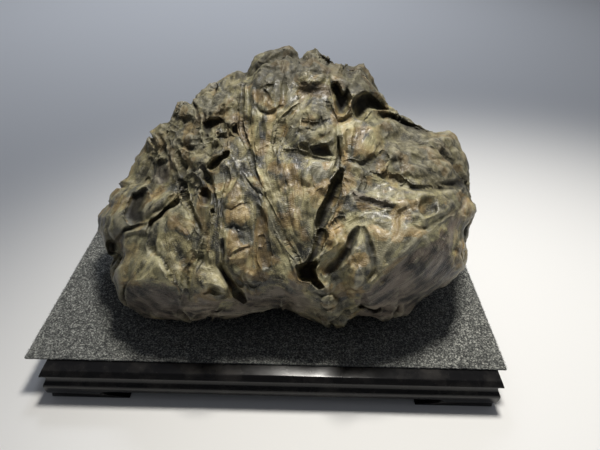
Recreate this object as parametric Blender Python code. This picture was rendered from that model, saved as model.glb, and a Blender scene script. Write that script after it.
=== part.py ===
"""Scholars rock on a felt mat and a low black display stand. Blender 4.5, metres, +Z up.

The origin is on the surface that the stand stands on, under the middle of the whole object.
-Y is the front, which the viewer of the stone faces.
"""

import math

import bmesh
import bpy
import numpy as np

MM = 0.001
GAP = 0.0003

# ---------------------------------------------------------------- the stand: a board on four mitred rails
STAND_MIDDLE_X = 0.0061
STAND_MIDDLE_Y = -0.0086
STAND_WIDTH = 0.4284
STAND_DEPTH = 0.2980
STAND_HEIGHT = 0.0390
RAIL_THICKNESS = 0.0140
FOOT_LENGTH = 0.0510
CUT_OUT_HEIGHT = 0.0125
TOE_HEIGHT = 0.0030
BOW_STEPS = 7
CUTTER_SPILL = 0.0100

# Edge mouldings as (outward from the nose line, height above the floor), in millimetres, top to bottom.
BOARD_EDGE = [(-3.9, 39.0), (-3.2, 38.7), (-2.6, 37.9), (-0.3, 33.6), (0.0, 32.9), (-0.3, 32.3)]
RAIL_EDGE = [
    (-3.4, 32.0), (-3.4, 27.4), (-3.1, 25.4), (-2.3, 23.4), (-0.9, 21.0), (-0.1, 19.2), (0.1, 17.4),
    (-0.1, 14.2), (-0.5, 10.2), (-1.2, 7.8), (-2.3, 6.3), (-3.5, 5.5), (-3.2, 4.6), (-2.7, 0.0),
]

# The toe under each cut-out's end as (past the foot's end, height above the floor), in millimetres.
TOE = [(-26.0, -4.0), (-26.0, 1.0), (-14.0, 2.3)]

# ---------------------------------------------------------------- finishes: colour and roughness
STONE_FINISH = ((0.27, 0.24, 0.15), 0.45)
FELT_FINISH = ((0.17, 0.18, 0.17), 0.95)
LACQUER_FINISH = ((0.010, 0.010, 0.012), 0.18)
CUTTER_FINISH = ((1.0, 0.0, 0.0), 0.50)

# ---------------------------------------------------------------- the mat
MAT_WIDTH = 0.450
MAT_DEPTH = 0.300
MAT_THICKNESS = 0.0020
MAT_MIDDLE_Y = 0.0076

# ---------------------------------------------------------------- the stone
STONE_HEART = np.array([0.0, -0.010, 0.140])
STONE_FOOT_Z = STAND_HEIGHT + GAP + MAT_THICKNESS + GAP
STONE_GRID = 84
STONE_TRIANGLES = 8400
GRID_LEAN = 0.30
FOOT_SOFTNESS = 0.004
SEAT_HEIGHT = 0.030
SEAT_SHARE = 250
CLEFT_SIZE = 0.066
CLEFT_DEPTH = 0.009
CLEFT_WIDTH = 0.10
CLEFT_SEED = 5
RAY_REACH = (0.01, 0.40)
RAY_HALVINGS = 34
UNSTEADY_BY = 1.5
UNSTEADY_SIZE = 16.0
UNSTEADY_SEEDS = (3, 4)
GATHER_SHARE = 0.80
GATHER_REACH = 250.0
OUTLINE_BINS = 480
OUTLINE_BLUR = 6.0
OUTLINE_RIM = 0.80

# Chipped faces as (size, rise, tilt, seed, crests), the broad ones and the small ones. They follow a grain
# that is squashed as (x, y, z) and swerves by (how much, how broadly, seed).
BROAD_CHIPS = [(0.070, 0.007, 0.010, 11, False), (0.055, 0.004, 0.007, 21, True)]
BROAD_GRAIN = (1.0, 1.0, 0.55)
BROAD_SWERVE = (0.014, 0.090, 41)
SMALL_CHIPS = [(0.027, 0.0017, 0.0040, 31, True), (0.015, 0.0009, 0.0024, 51, True)]
SMALL_GRAIN = (1.0, 1.0, 0.60)
SMALL_SWERVE = (0.003, 0.020, 141)

# How squarely a place faces the eye, 0 to 1: where the drawing on the sheet starts to reach it and where it
# is whole, the same for the gathering along strokes, and for the fading of the broad chips, down to a share.
DRAWN = (0.0, 0.25)
GATHERED = (0.05, 0.35)
BROAD_FADES = (0.10, 0.50)
BROAD_LEFT = 0.20

# The stone's masses: middle and radii, in metres.
MASSES = [
    ((0.000, 0.002, 0.108), (0.168, 0.100, 0.078)),
    ((0.008, 0.058, 0.172), (0.085, 0.066, 0.088)),
    ((0.122, 0.006, 0.122), (0.090, 0.084, 0.076)),
    ((-0.128, 0.020, 0.096), (0.094, 0.082, 0.064)),
    ((0.050, -0.046, 0.098), (0.108, 0.064, 0.060)),
    ((-0.060, -0.036, 0.094), (0.102, 0.068, 0.054)),
    ((-0.060, 0.044, 0.152), (0.080, 0.068, 0.072)),
    ((0.066, 0.040, 0.164), (0.080, 0.070, 0.074)),
]
MASS_BLEND = 0.022

# The stone's face is laid out on a flat sheet, 600 x 450 mm, that stands SHEET_DISTANCE in front of an eye
# point. A place on the sheet is (u to the right, v down) in millimetres from its upper left corner, and it
# stands for every point on the ray from the eye through it.
EYE = np.array([0.02612, -0.43065, 0.41339])
EYE_YAW = 0.0056437
EYE_PITCH = 0.6325154
EYE_ROLL = 0.0284709
SHEET_DISTANCE = 485.0
SHEET_MIDDLE = (300.0, 225.0)
SHEET_HUB = (285.0, 200.0)

# The stone's outline on the sheet, clockwise from its left tip.
OUTLINE = [
    (96, 232), (98, 216), (109, 197), (121, 179), (126, 176), (130, 165), (140, 148), (150, 129),
    (159, 121), (167, 118), (171, 112), (173, 104), (177, 100), (184, 98), (190, 101), (192, 97),
    (200, 91), (209, 85), (216, 82), (225, 75), (235, 70), (242, 68), (246, 70), (249, 66), (250, 62),
    (256, 55), (262, 52), (270, 48), (285, 43.5), (290, 45), (294, 48), (302, 53), (307, 48), (316, 45),
    (325, 52), (331, 58), (339, 62), (346, 58.5), (353, 63.5), (358, 60), (366, 60), (368, 66),
    (375, 76), (382, 91), (388, 101), (396, 106.5), (409, 116), (417, 124), (431, 129), (439, 132),
    (449, 130), (455, 134), (468, 158), (470, 179), (472, 197), (476, 204), (476.5, 211), (473.5, 220),
    (470, 229), (469.5, 237), (466.5, 242), (470, 251), (469, 262), (466, 271), (455, 280), (447, 288),
    (434, 295), (418, 306), (408, 315), (391, 320), (382, 323), (372, 317.5), (357, 314), (349, 320),
    (345, 329), (337, 330), (330, 330.5), (319, 324), (304, 318), (284, 311.5), (273, 311), (251, 316),
    (237, 321), (208, 323), (184, 321.5), (150, 319), (140, 316), (127, 309), (117, 300), (112, 286),
    (108, 281), (107, 272), (110, 262), (111, 257), (106, 256), (104, 250), (101, 243),
]

# Worn places, where the chipping is faint: how much it fades, softness of the edge, outline.
WORN = {
    "lower right face": (0.80, 10, [
        (356, 300), (392, 270), (434, 238), (462, 212), (468, 240), (456, 280), (408, 314), (360, 316)]),
    "belly": (0.70, 9, [
        (112, 292), (150, 286), (200, 304), (250, 296), (290, 288), (306, 300), (250, 324), (140, 322)]),
    "panel": (0.65, 8, [(270, 156), (334, 166), (332, 190), (318, 232), (303, 262), (284, 236), (262, 190)]),
    "hollow": (0.80, 6, [(128, 190), (146, 185), (149, 205), (145, 224), (130, 227), (124, 208)]),
}

# Ridges: height, width of the slope on the left hand and on the right hand, points.
RIDGES = {
    "belly left": (6, 26, 30, [
        (108, 268), (118, 284), (134, 282), (150, 282), (178, 290), (205, 302), (236, 303)]),
    "belly right": (6, 26, 30, [(246, 286), (262, 284), (280, 282), (300, 292), (318, 300)]),
    "right arris": (19, 60, 62, [
        (345, 294), (369, 285), (382, 274), (397, 260), (412, 246), (434, 234), (448, 220), (460, 208)]),
    "shelf edge": (3.0, 14, 9, [(351, 190), (362, 193), (374, 197), (388, 201), (399, 204), (414, 208)]),
    "ledge lip": (1.6, 4, 14, [(384, 181), (398, 185), (410, 192), (430, 193), (452, 193)]),
    "blade": (1.8, 6, 7, [
        (250, 172), (258, 186), (265, 205), (273, 224), (283, 244), (291, 262), (293, 276)]),
    "thin left": (1.6, 5, 6, [(250, 190), (251, 208), (250, 226)]),
    "flake": (2.6, 9, 4, [(334, 182), (322, 187), (312, 193), (307, 201), (309, 210), (314, 216)]),
    "hole rim": (3.0, 5, 9, [(316, 274), (314, 264), (321, 255), (334, 248), (343, 240)]),
    "tan crest": (4.5, 8, 9, [(357, 246), (352, 258), (344, 266), (335, 277)]),
    "left finger": (3.8, 8, 9, [(146, 216), (153, 204), (164, 195), (178, 189), (186, 186)]),
    "knob rim": (2.2, 8, 10, [(250, 86), (262, 80), (274, 78), (285, 82)]),
    "left low lip": (3.8, 6, 22, [(118, 244), (126, 234), (138, 229), (148, 227)]),
    "facet edge": (3.8, 14, 14, [(160, 258), (170, 274), (178, 289), (182, 304)]),
    "right low crest": (3.0, 9, 7, [(458, 214), (451, 230), (449, 246), (452, 258), (459, 270)]),
    "flake two": (2.2, 6, 5, [(427, 231), (434, 224), (441, 219)]),
    "sunken top": (2.2, 5, 6, [(420, 194), (434, 191), (450, 194)]),
    "sunken left": (2.2, 5, 6, [(419, 217), (417, 206), (421, 195)]),
    "sunken low": (1.5, 5, 4, [(420, 221), (431, 217), (443, 212), (452, 205)]),
    "column": (3.0, 6, 5, [(343, 128), (344, 142), (343, 156)]),
    "upper shelf": (3.0, 10, 14, [(345, 104), (356, 95), (368, 88), (380, 86)]),
    "hollow rim": (3.0, 4, 6, [(134, 194), (139, 187), (147, 184), (151, 192), (149, 200)]),
    "mid ridge a": (3.0, 4, 4, [(198, 114), (200, 126), (203, 138), (205, 147)]),
    "mid ridge b": (3.0, 5, 5, [(205, 115), (212, 111), (220, 110), (230, 105)]),
    "mid ridge c": (2.6, 4, 4, [(218, 114), (224, 121), (231, 123), (239, 122)]),
    "mid ridge d": (3.0, 5, 5, [(209, 144), (215, 138), (220, 131), (226, 129)]),
    "corner ridge": (3.0, 5, 6, [(182, 175), (189, 173), (195, 173), (200, 180), (203, 187)]),
    "sharp light": (2.2, 7, 4, [(172, 223), (178, 227), (185, 232), (191, 240)]),
    "block rib a": (2.2, 5, 6, [(150, 232), (146, 246), (140, 258), (132, 270)]),
    "block rib b": (2.2, 6, 5, [(156, 258), (149, 270), (140, 280), (128, 288)]),
    "mid left rib": (2.6, 6, 6, [(214, 170), (212, 184), (214, 198), (210, 214), (208, 228)]),
    "lower rib": (2.2, 5, 6, [(203, 236), (205, 250), (209, 262), (212, 272)]),
    "almond rib": (2.2, 7, 6, [(192, 276), (200, 282), (212, 284), (224, 290), (236, 300)]),
    "braid rib a": (1.9, 3, 3, [(244, 80), (244, 94), (245, 108), (247, 120)]),
    "braid rib b": (1.9, 3, 3, [(250, 84), (251, 98), (251, 112), (252, 124)]),
    "light column": (2.2, 4, 4, [(274, 104), (277, 112), (275, 124), (272, 140)]),
    "cream rib": (2.2, 5, 5, [(258, 112), (258, 126), (256, 142), (254, 156)]),
    "jag rim": (2.6, 4, 4, [(328, 78), (334, 80), (340, 86), (344, 94)]),
    "pit arch": (3.0, 6, 4, [(352, 100), (358, 92), (367, 89), (377, 93), (386, 101)]),
    "diamond low rim": (2.2, 6, 4, [(318, 144), (328, 142), (336, 137), (341, 132)]),
    "bright line": (2.2, 4, 4, [(387, 158), (384, 166), (382, 173)]),
    "shelf step": (1.3, 6, 5, [(350, 212), (362, 216), (374, 217), (388, 221), (398, 217)]),
    "step rim": (1.3, 6, 5, [(344, 230), (352, 226), (358, 230), (356, 240)]),
    "bulge rib": (1.9, 6, 6, [(362, 268), (358, 280), (350, 290), (340, 296)]),
    "low flank rib": (2.2, 10, 9, [(452, 240), (440, 256), (424, 270), (404, 284), (388, 300)]),
    "low flank rib b": (1.9, 9, 8, [(458, 264), (444, 278), (426, 290), (408, 304)]),
    "belly rib": (1.5, 9, 7, [(132, 300), (160, 304), (190, 309), (216, 312)]),
}

# Swellings: middle, radii, turn in degrees, height, roundness (lower is boxier).
DOMES = {
    "diamond": ((309, 128), (30, 26), 20, 6, 0.9),
    "block E": ((364, 138), (22, 22), -25, 6, 0.8),
    "knob": ((266, 92), (18, 22), -10, 5, 0.8),
    "boss": ((182, 109), (11, 11), 0, 6, 0.6),
    "bulge": ((354, 280), (12, 17), 10, 7, 0.8),
    "ochre lump": ((464, 254), (9, 16), 5, 8, 0.7),
    "upper ochre lump": ((468, 211), (7, 13), 0, 7, 0.7),
    "upper right block": ((420, 154), (46, 30), 10, 5, 1.0),
    "left block": ((140, 270), (38, 34), 0, 7, 0.8),
    "almond": ((208, 288), (26, 15), 20, 6, 0.8),
    "mid left tan": ((236, 214), (15, 14), 0, 4, 0.8),
    "low left tan": ((238, 262), (15, 20), 0, 5, 0.8),
    "rough knob a": ((330, 306), (14, 12), 20, 5, 0.7),
    "rough knob b": ((322, 290), (14, 8), 0, 3, 0.7),
    "left upper mass": ((196, 150), (30, 40), 25, 4, 0.8),
    "summit": ((312, 66), (22, 18), 0, 4, 0.8),
    "summit right": ((360, 74), (16, 14), 20, 4, 0.8),
    "left lump a": ((152, 141), (8, 9), 0, 4, 0.7),
    "left lump b": ((154, 156), (8, 8), 0, 4, 0.7),
    "left lump c": ((161, 128), (7, 7), 0, 3.5, 0.7),
    "top lump a": ((197, 101), (6, 9), 0, 4, 0.7),
    "top lump b": ((208, 94), (7, 7), 0, 3, 0.7),
    "top lump c": ((190, 139), (6, 9), -15, 4, 0.7),
    "top lump d": ((222, 98), (9, 8), 0, 3, 0.7),
    "mid lump": ((217, 136), (10, 7), -40, 4, 0.7),
    "tan face": ((173, 160), (8, 20), 0, 3, 0.8),
    "tan boss": ((194, 158), (12, 11), 0, 4, 0.8),
    "summit lump a": ((262, 62), (9, 8), 0, 3.5, 0.7),
    "summit lump b": ((278, 56), (10, 9), 0, 3.5, 0.7),
    "summit lump c": ((316, 54), (9, 8), 0, 3, 0.7),
    "summit lump d": ((300, 76), (8, 7), 0, 3, 0.7),
    "summit lump e": ((318, 77), (9, 6), 0, 3, 0.7),
    "summit lump f": ((340, 70), (7, 8), 0, 3, 0.7),
    "centre lump": ((230, 194), (10, 14), 0, 3, 0.8),
    "low knob": ((248, 278), (8, 8), 0, 4, 0.7),
    "tan lump": ((200, 268), (9, 10), 0, 3.5, 0.8),
    "centre orange": ((332, 236), (11, 14), -25, 4, 0.8),
    "panel lump a": ((284, 182), (8, 13), -10, 2, 0.8),
    "panel lump b": ((306, 176), (8, 12), 0, 2, 0.8),
    "panel lump c": ((296, 222), (6, 14), -10, 2, 0.8),
    "right lump a": ((396, 150), (11, 10), 0, 3, 0.8),
    "right lump b": ((414, 148), (10, 8), 0, 3, 0.8),
    "right lump c": ((444, 142), (12, 9), 0, 3, 0.8),
    "right lump d": ((418, 170), (13, 8), 10, 3, 0.8),
    "right lump e": ((448, 168), (12, 8), 0, 3, 0.8),
}

# Tilted faces: middle, slope along u, slope along v, rise, softness of the edge, outline.
FACETS = {
    "panel": ((300, 205), 0.02, -0.05, 0, 6, [
        (274, 152), (300, 156), (334, 163), (333, 190), (322, 215), (317, 245), (303, 266), (285, 238),
        (268, 205), (256, 176)]),
    "right low face": ((420, 275), -0.05, 0.02, 0, 10, [
        (370, 288), (398, 262), (435, 236), (462, 210), (462, 240), (452, 268), (425, 298), (382, 318),
        (350, 312)]),
    "green facet": ((162, 274), 0.1, -0.05, 2, 4, [
        (158, 256), (148, 281), (166, 282), (179, 288), (171, 272)]),
}

# Fissures: half width, depth, width and depth of the shoulders that fall into it, points.
FISSURES = {
    "ledge upper": (1.0, 2.0, 4, 0.5, [
        (341, 163), (350, 160), (360, 163), (368, 170), (378, 173), (384, 175)]),
    "long diagonal upper": (1.8, 5, 9, 2, [
        (246, 70), (242, 84), (241, 98), (242, 113), (243, 132), (247, 146), (251, 160)]),
    "long diagonal middle": (1.7, 5, 6, 1.0, [(249, 146), (252, 160), (255, 172), (259, 181), (264, 191)]),
    "long diagonal lower": (1.0, 3.6, 5, 0.7, [
        (262, 188), (265, 198), (272, 212), (280, 227), (289, 243), (297, 257), (300, 266)]),
    "braid": (1.2, 2.6, 5, 0.6, [(249, 78), (247, 92), (247, 110), (248, 126), (250, 140)]),
    "blade left": (1.0, 2.2, 4, 0.5, [(240, 170), (245, 178), (251, 186), (257, 195), (262, 206)]),
    "wedge": (1.6, 7, 6, 1.2, [(342, 168), (340, 174), (338, 181)]),
    "wedge tail": (1.3, 6, 5, 1.0, [(322, 226), (321, 238), (318, 248), (314, 256), (308, 264)]),
    "right ledge": (1.2, 3.6, 5, 0.7, [
        (384, 175), (398, 179), (405, 184), (412, 187), (430, 188), (452, 188), (464, 186)]),
    "diamond left": (1.4, 3.9, 8, 1.5, [
        (302, 103), (293, 109), (284, 117), (278, 127), (276, 140), (277, 152)]),
    "diamond right": (1.2, 3.2, 7, 1.2, [(327, 101), (333, 114), (339, 126)]),
    "panel top": (1.0, 2, 6, 0.5, [(275, 151), (288, 151), (300, 153), (311, 157), (323, 159), (335, 161)]),
    "block E low": (1.4, 3.9, 7, 1.2, [(388, 137), (380, 147), (375, 156), (368, 164)]),
    "block E top": (1.2, 3.2, 8, 1.2, [(340, 124), (348, 118), (357, 113), (366, 110)]),
    "crack C": (3.0, 13, 9, 3, [(379, 113), (390, 115), (400, 120), (410, 126), (420, 129), (431, 133)]),
    "summit crack": (1.6, 6, 6, 2, [(317, 47), (322, 55), (329, 62), (338, 68)]),
    "summit groove": (1.4, 2.6, 9, 1.5, [(350, 62), (349, 74), (349, 88)]),
    "knob right": (1.5, 3.9, 9, 1.8, [(287, 62), (284, 76), (284, 90), (283, 104)]),
    "knob inner": (1.2, 2.6, 4, 0.6, [(260, 86), (265, 94), (271, 103)]),
    "knob under": (1.2, 2.6, 8, 1.2, [(254, 104), (260, 111), (267, 114), (277, 110), (284, 104)]),
    "boss under": (1.7, 4.5, 7, 1.2, [(171, 111), (176, 117), (184, 120), (191, 116)]),
    "left upper b": (1.8, 6, 7, 2, [(177, 147), (179, 158), (183, 168), (181, 178)]),
    "spine": (1.7, 8, 8, 2.5, [(180, 177), (183, 190), (185, 200), (192, 211), (196, 222), (200, 234)]),
    "left finger under": (2.2, 10, 8, 2.5, [(179, 196), (170, 206), (160, 215), (151, 222), (147, 233)]),
    "left low": (1.2, 3.9, 8, 1.5, [
        (149, 232), (150, 246), (156, 254), (163, 259), (168, 268), (174, 282)]),
    "left undercut": (2.0, 8, 8, 2, [(147, 224), (135, 226), (124, 230), (117, 240), (110, 250)]),
    "low split": (3.2, 16, 10, 4, [(219, 264), (224, 275), (231, 284), (238, 294), (245, 303)]),
    "low split top": (1.4, 3.9, 8, 1.8, [(222, 238), (223, 252), (222, 266)]),
    "left blocks": (1.3, 3.9, 9, 1.8, [
        (196, 256), (190, 264), (185, 270), (184, 280), (187, 288), (184, 298), (180, 309)]),
    "fork left": (4.2, 6, 11, 3.0, [
        (358, 226), (353, 236), (349, 248), (342, 258), (334, 266), (325, 274)]),
    "fork right": (3.4, 4, 10, 2.0, [
        (361, 226), (367, 236), (371, 248), (373, 260), (374, 270), (368, 284)]),
    "shelf crack": (1.3, 2.6, 7, 1.2, [
        (416, 205), (407, 208), (400, 212), (397, 219), (398, 227), (395, 235), (390, 243)]),
    "right boundary": (1.4, 3.2, 9, 2.1, [
        (466, 204), (457, 210), (447, 215), (438, 221), (428, 228), (418, 228), (410, 223)]),
    "ochre cap": (1.2, 3.2, 7, 1.2, [(325, 224), (332, 226), (338, 221), (344, 218)]),
    "mid left a": (1.5, 4.5, 8, 1.8, [(206, 112), (204, 124), (206, 138), (209, 152)]),
    "mid left b": (1.5, 4.5, 8, 1.8, [(223, 104), (221, 118), (222, 134), (226, 150)]),
    "mid left c": (1.4, 3.9, 8, 1.8, [(197, 170), (206, 178), (214, 190), (216, 206), (212, 222)]),
    "mid left d": (1.4, 3.9, 8, 1.8, [(226, 165), (229, 180), (224, 196), (222, 212), (223, 228)]),
    "mid left e": (1.2, 3.2, 7, 1.2, [(206, 228), (203, 244), (200, 258), (196, 272)]),
    "right rim": (1.2, 2.6, 8, 1.8, [(468, 176), (464, 190), (463, 204), (466, 216)]),
    "upright": (2.2, 11, 8, 2.5, [(336, 122), (339, 132), (339, 145), (338, 158), (335, 170)]),
    "boss right": (1.6, 6, 5, 1.5, [(193, 101), (196, 109), (198, 118), (196, 128), (195, 138)]),
    "boss left": (1.1, 3.2, 5, 0.9, [(160, 121), (168, 123), (176, 128), (180, 136)]),
    "left lumps a": (1.2, 3.2, 6, 1.2, [(150, 131), (158, 136), (163, 145), (160, 156)]),
    "left lumps b": (1.0, 2.6, 6, 1.2, [(166, 120), (170, 132), (172, 144), (170, 158)]),
    "left lumps c": (1.0, 2.6, 5, 0.9, [(142, 150), (150, 153), (157, 158)]),
    "under boss": (1.4, 3.2, 6, 1.2, [(176, 136), (181, 144), (187, 148), (195, 148), (201, 143)]),
    "mid slot": (1.1, 3.2, 5, 0.9, [(217, 133), (221, 136), (225, 139)]),
    "mid slot low": (1.6, 6, 5, 1.5, [(201, 168), (205, 174), (209, 181), (212, 190)]),
    "tan face left": (1.0, 2.6, 8, 1.5, [(166, 128), (168, 142), (170, 158), (168, 172)]),
    "light corner": (1.0, 2.6, 5, 1.2, [(182, 177), (190, 176), (195, 181), (199, 188)]),
    "hollow side": (2.0, 6, 6, 2, [(145, 176), (149, 184), (152, 195)]),
    "left facet": (1.0, 2.0, 6, 1.2, [(149, 231), (152, 243), (156, 254), (163, 260)]),
    "block split": (1.1, 3.2, 7, 1.2, [
        (192, 265), (188, 273), (187, 284), (187, 296), (184, 304), (180, 309)]),
    "almond crack": (1.0, 2.6, 6, 1.2, [(203, 294), (209, 291), (215, 287)]),
    "tan lump": (1.0, 2.0, 6, 1.2, [(190, 250), (196, 257), (203, 260), (207, 268)]),
    "knob line": (1.0, 2.3, 4, 0.9, [(265, 88), (269, 85), (272, 83)]),
    "summit left a": (1.1, 2.6, 7, 1.5, [(256, 58), (262, 66), (272, 70), (284, 68)]),
    "summit left b": (1.0, 2.6, 7, 1.2, [(284, 46), (285, 58), (281, 68), (283, 80)]),
    "summit mid": (1.1, 2.6, 7, 1.5, [(297, 52), (299, 64), (294, 74), (292, 82)]),
    "summit mid low": (1.0, 2.6, 6, 1.2, [(300, 72), (310, 70), (322, 72), (332, 74)]),
    "recess ledge": (1.1, 2.0, 4, 0.9, [(298, 92), (308, 89), (318, 91), (328, 89)]),
    "pit bridge": (1.4, 5, 6, 2, [(338, 122), (345, 119), (352, 116)]),
    "diamond crust a": (1.0, 1.6, 6, 0.9, [(291, 124), (301, 122), (312, 125), (324, 121), (333, 119)]),
    "diamond crust b": (1.0, 1.6, 6, 0.9, [(304, 104), (306, 116), (303, 130), (306, 142)]),
    "diamond crust c": (1.0, 1.6, 6, 0.9, [(318, 103), (320, 116), (325, 128), (322, 140)]),
    "block E inner": (1.0, 2.0, 8, 1.5, [(356, 118), (358, 130), (354, 142), (352, 156)]),
    "block E side": (1.0, 2.0, 7, 1.2, [(384, 122), (383, 134), (388, 146)]),
    "upper right a": (1.0, 2.0, 8, 1.2, [(388, 138), (402, 142), (416, 141), (430, 146), (446, 150)]),
    "upper right b": (1.0, 2.0, 8, 1.2, [(402, 128), (404, 142), (400, 156), (404, 172)]),
    "upper right c": (1.0, 2.0, 8, 1.2, [(428, 134), (426, 148), (432, 160), (430, 174)]),
    "upper right d": (1.0, 2.0, 8, 1.2, [(414, 156), (428, 160), (444, 158), (460, 160)]),
    "ledge a": (1.0, 1.6, 6, 0.9, [(366, 176), (364, 184), (360, 191)]),
    "ledge b": (1.0, 1.6, 6, 0.9, [(402, 184), (398, 192), (392, 200)]),
    "ledge c": (1.0, 1.4, 6, 0.8, [(340, 176), (348, 184), (352, 194), (348, 206)]),
    "under shelf": (1.2, 2.0, 6, 1.0, [(360, 198), (370, 201), (382, 204), (394, 208)]),
    "step a": (1.0, 1.3, 6, 0.8, [(342, 226), (352, 222), (360, 219), (366, 213)]),
    "step b": (1.0, 1.3, 6, 0.6, [(372, 222), (382, 228), (388, 234)]),
    "panel line a": (1.0, 1.3, 7, 0.9, [(288, 156), (284, 172), (288, 190), (286, 204)]),
    "panel line b": (1.0, 1.3, 7, 0.9, [(308, 158), (300, 176), (302, 196), (296, 214)]),
    "panel line c": (1.0, 1.3, 6, 0.9, [(318, 166), (312, 182), (314, 190)]),
    "column right": (1.0, 2.0, 5, 1.2, [(348, 128), (349, 142), (347, 158)]),
    "centre a": (1.0, 2.0, 7, 1.2, [(222, 206), (232, 210), (242, 205), (250, 203)]),
    "centre b": (1.0, 2.0, 7, 1.2, [(224, 228), (234, 226), (242, 231), (252, 229)]),
    "centre c": (1.0, 2.6, 6, 1.2, [(228, 257), (234, 254), (241, 250), (250, 247)]),
    "low knob": (1.0, 2.6, 6, 1.2, [(241, 272), (246, 282), (254, 287), (262, 283)]),
    "foot a": (1.0, 2.6, 6, 1.2, [(312, 292), (322, 296), (332, 294), (342, 300)]),
    "foot b": (1.0, 2.6, 6, 1.2, [(318, 306), (326, 310), (336, 308)]),
}

# Pits: depth, softness of the edge, outline.
PITS = {
    "black hole": (26, 5, [
        (297, 266), (307, 262), (316, 257), (320, 262), (316, 270), (318, 279), (326, 288), (318, 290),
        (310, 281), (299, 280)]),
    "pit A": (13, 4, [
        (330, 84), (338, 81), (343, 92), (347, 84), (350, 92), (348, 108), (344, 117), (337, 114),
        (333, 100)]),
    "pit B": (14, 4, [
        (352, 106), (356, 97), (364, 93), (374, 94), (384, 101), (390, 110), (380, 108), (372, 107),
        (366, 112), (362, 120), (355, 117)]),
    "under E": (4, 3, [
        (356, 163), (367, 160), (377, 153), (386, 144), (388, 156), (383, 171), (373, 171), (363, 168)]),
    "recess": (5, 5, [(294, 79), (312, 78), (330, 80), (334, 92), (330, 102), (310, 102), (298, 101)]),
    "hollow": (12, 6, [
        (130, 192), (146, 185), (149, 199), (143, 212), (145, 223), (131, 227), (123, 216), (126, 204)]),
    "panel pocket a": (3, 4, [(298, 144), (306, 142), (308, 152), (300, 153)]),
    "panel pocket b": (6, 3, [(310, 147), (328, 145), (333, 157), (314, 155)]),
    "sunken": (4, 4, [(423, 198), (440, 196), (438, 212), (426, 219), (419, 213)]),
    "right hollow": (8, 5, [(436, 184), (448, 179), (463, 176), (468, 184), (461, 191), (448, 189)]),
    "dark patch": (2, 5, [(234, 229), (252, 227), (254, 243), (243, 248), (236, 240)]),
    "pit c": (7, 2.5, [(195, 121), (198, 119), (198, 134), (195, 138)]),
    "pit d": (9, 4, [(202, 122), (209, 117), (221, 117), (223, 122), (214, 130), (208, 137), (203, 131)]),
    "pit e": (6, 2.5, [(232, 125), (238, 125), (238, 132), (233, 131)]),
    "pit f": (5, 2.5, [(184, 145), (191, 145), (190, 149), (185, 149)]),
    "pit g": (5, 2.5, [(199, 138), (202, 139), (203, 143), (200, 143)]),
    "diagonal pit": (12, 3, [
        (207, 166), (211, 160), (220, 154), (229, 149), (227, 156), (216, 166), (211, 170)]),
    "block pocket": (8, 4, [(200, 189), (209, 188), (212, 198), (208, 207), (200, 205)]),
    "rear pocket": (5, 5, [(156, 160), (165, 159), (170, 172), (168, 183), (160, 184), (154, 174)]),
    "hollow back": (6, 4, [(145, 177), (151, 178), (153, 190), (151, 194), (147, 188)]),
    "left crevice": (9, 5, [(104, 240), (117, 239), (120, 247), (114, 256), (107, 255)]),
    "small black": (6, 2, [(209, 209), (214, 208), (215, 214), (210, 215)]),
    "diamond slot": (6, 3, [(295, 105), (293, 113), (286, 120), (282, 124), (285, 115)]),
    "split foot": (5, 4, [(229, 274), (240, 276), (246, 290), (238, 290)]),
    "wedge": (13, 2.5, [
        (341, 171), (340, 182), (336, 195), (331, 208), (326, 220), (322, 229), (318, 226), (320, 215),
        (325, 204), (330, 193), (334, 183), (338, 176)]),
    "brown column": (2.5, 3, [
        (255, 202), (262, 206), (266, 222), (268, 238), (272, 256), (270, 268), (262, 270), (258, 256),
        (256, 236)]),
    "column pit": (4, 2.5, [(257, 236), (263, 234), (266, 240), (262, 248), (257, 247)]),
    "column slot": (3, 2, [(266, 250), (270, 254), (270, 262), (267, 260)]),
    "low hollow": (5, 5, [(208, 283), (218, 286), (226, 296), (214, 297), (206, 291)]),
}


# ---------------------------------------------------------------- the sheet
def eye_axes():
    """Unit vectors ahead, right and up as seen from the eye."""
    level = math.cos(EYE_PITCH)
    ahead = np.array([math.sin(EYE_YAW) * level, math.cos(EYE_YAW) * level, -math.sin(EYE_PITCH)])
    flat_right = np.array([math.cos(EYE_YAW), -math.sin(EYE_YAW), 0.0])
    flat_up = np.cross(flat_right, ahead)
    right = math.cos(EYE_ROLL) * flat_right + math.sin(EYE_ROLL) * flat_up
    up = -math.sin(EYE_ROLL) * flat_right + math.cos(EYE_ROLL) * flat_up
    return ahead, right, up


AHEAD, RIGHT, UP = eye_axes()


def to_sheet(points):
    """Sheet place (u, v) of each point, and its depth ahead of the eye."""
    offset = points - EYE
    depth = offset @ AHEAD
    u = SHEET_MIDDLE[0] + SHEET_DISTANCE * (offset @ RIGHT) / depth
    v = SHEET_MIDDLE[1] - SHEET_DISTANCE * (offset @ UP) / depth
    return u, v, depth


def from_sheet(u, v, depth):
    """The point at a sheet place and depth."""
    sideways = ((u - SHEET_MIDDLE[0]) / SHEET_DISTANCE * depth)[:, None]
    upward = ((SHEET_MIDDLE[1] - v) / SHEET_DISTANCE * depth)[:, None]
    return EYE + depth[:, None] * AHEAD + sideways * RIGHT + upward * UP


# ---------------------------------------------------------------- noise
def ramp(low, high, x):
    """Smooth step from 0 at low to 1 at high."""
    t = np.clip((x - low) / (high - low), 0.0, 1.0)
    return t * t * (3.0 - 2.0 * t)


def scatter(cell, seed):
    """A fixed random number, 0 to 1, for each whole-numbered cell."""
    mixed = cell.astype(np.uint32) * np.array([374761393, 668265263, 1274126177], np.uint32)
    h = mixed[:, 0] + mixed[:, 1] + mixed[:, 2] + np.uint32(seed * 7919 + 13)
    h = (h ^ (h >> np.uint32(13))) * np.uint32(1274126177)
    h = (h ^ (h >> np.uint32(16))) * np.uint32(2246822519)
    return (h ^ (h >> np.uint32(15))).astype(np.float64) / 4294967295.0


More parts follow.
